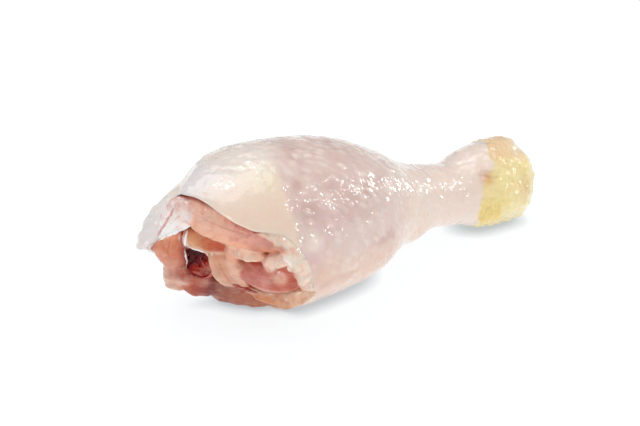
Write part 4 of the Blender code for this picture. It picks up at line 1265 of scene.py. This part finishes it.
studio = {
    "aim": (0.0, 0.0, 27.0), "aside": 10.16, "upwards": 1.90, "azimuth": -36.0, "elevation": 28.0,
    "distance": 480.0, "lens": 85.0, "sensor": 36.0,
    "floorSize": 6.0, "floorGrain": 900.0, "floorTones": [(0.3, "#6c6e70"), (0.7, "#6e7072")],
    # the glow's tones and the reach below paint a contact shadow: the floor's glow dims to blue grey close
    # to the piece
    "floorGlow": 0.9, "glowAndContactShadowTones": [(0.15, "#b8bec2"), (0.5, "#e0e5e7"), (0.95, "#fbfeff")],
    "contactShadowReach": 4.8,                          # mm from the piece within which the floor dims
    "skyTone": "#f8faff", "sky": 0.335,
    # place and size in metres, power in watts, tone
    "lamps": {
        "overhead": ((-0.06, 0.18, 0.80), 0.90, 4.4, "#ffffff"),
        "high": ((0.0, 0.26, 0.86), 0.12, 0.4, "#ffffff"),
        "rightFront": ((0.47, -0.52, 0.56), 0.08, 0.55, "#ffffff"),
        "right": ((0.70, -0.34, 0.42), 0.15, 0.58, "#ffffff"),
        "lowFront": ((0.47, -0.80, 0.09), 0.10, 0.7, "#ffffff"),
        "leftFront": ((-0.62, -0.58, 0.34), 0.12, 0.45, "#fffaf6"),
        "lowLeft": ((-0.60, -0.74, 0.11), 0.20, 0.3, "#ffffff"),
        "left": ((-0.82, -0.50, 0.20), 0.26, 1.35, "#ffffff"),
        "side": ((0.90, -0.06, 0.20), 0.17, 1.0, "#ffffff"),
    },
}


def makeFloor():
    s = studio
    bm = bmesh.new()
    bmesh.ops.create_grid(bm, x_segments=1, y_segments=1, size=s["floorSize"] / 2)
    floor = addObject("floor", meshFrom(bm, "floor"))
    m = newMaterial("matt white card")
    place = addNode(m, "TexCoord", {}).outputs["Object"]
    fibres = addNode(m, "TexNoise", {"Scale": s["floorGrain"], "Detail": 2.0}, {"Vector": place})
    tone = addNode(m, "ValToRGB", {"stops": s["floorTones"]}, {0: fibres})
    # a light table: it glows, so that shadows on it stay faint, and near whatever stands on it the glow is
    # dimmed to blue grey, a painted contact shadow
    near = addNode(m, "AmbientOcclusion", {"Distance": s["contactShadowReach"] * mm, "samples": 8})
    glowWithContactShadow = addNode(m, "ValToRGB", {"stops": s["glowAndContactShadowTones"]}, {0: near.outputs["AO"]})
    shader = addNode(m, "BsdfPrincipled", {"Roughness": 0.9, "Specular IOR Level": 0.1,
                                           "Emission Strength": s["floorGlow"]},
                     {"Base Color": tone, "Emission Color": glowWithContactShadow})
    addNode(m, "OutputMaterial", {}, {"Surface": shader})
    floor.data.materials.append(m)


def makeLights():
    world = bpy.data.worlds.new("studio")
    bpy.context.scene.world = world
    world.use_nodes = True
    background = world.node_tree.nodes["Background"]
    background.inputs["Color"].default_value = colour(studio["skyTone"])
    background.inputs["Strength"].default_value = studio["sky"]
    for name, (place, size, power, tone) in studio["lamps"].items():
        lamp = bpy.data.lights.new(name, "AREA")
        lamp.shape = "DISK"
        lamp.size = size
        lamp.energy = power
        lamp.color = colour(tone)[:3]
        holder = addObject(name, lamp)
        holder.location = place
        holder.rotation_euler = Vector(place).to_track_quat("Z", "Y").to_euler()
        holder.visible_camera = False


def makeCamera():
    s = studio
    azimuth, elevation = math.radians(s["azimuth"]), math.radians(s["elevation"])
    back = Vector((math.sin(azimuth) * math.cos(elevation), -math.cos(azimuth) * math.cos(elevation),
                   math.sin(elevation)))
    right = Vector((math.cos(azimuth), math.sin(azimuth), 0))
    up = back.cross(right)
    aim = Vector(s["aim"]) + Vector((kneeShift, 0, 0)) + right * s["aside"] + up * s["upwards"]
    camera = addObject("camera", bpy.data.cameras.new("camera"))
    camera.data.lens = s["lens"]
    camera.data.sensor_width = s["sensor"]
    camera.data.clip_start = 0.01
    camera.location = (aim + back * s["distance"]) * mm
    camera.rotation_euler = back.to_track_quat("Z", "Y").to_euler()
    bpy.context.scene.camera = camera


makeFloor()
makeLights()
makeCamera()
bpy.context.scene.view_settings.view_transform = "Standard"
print("stage set")
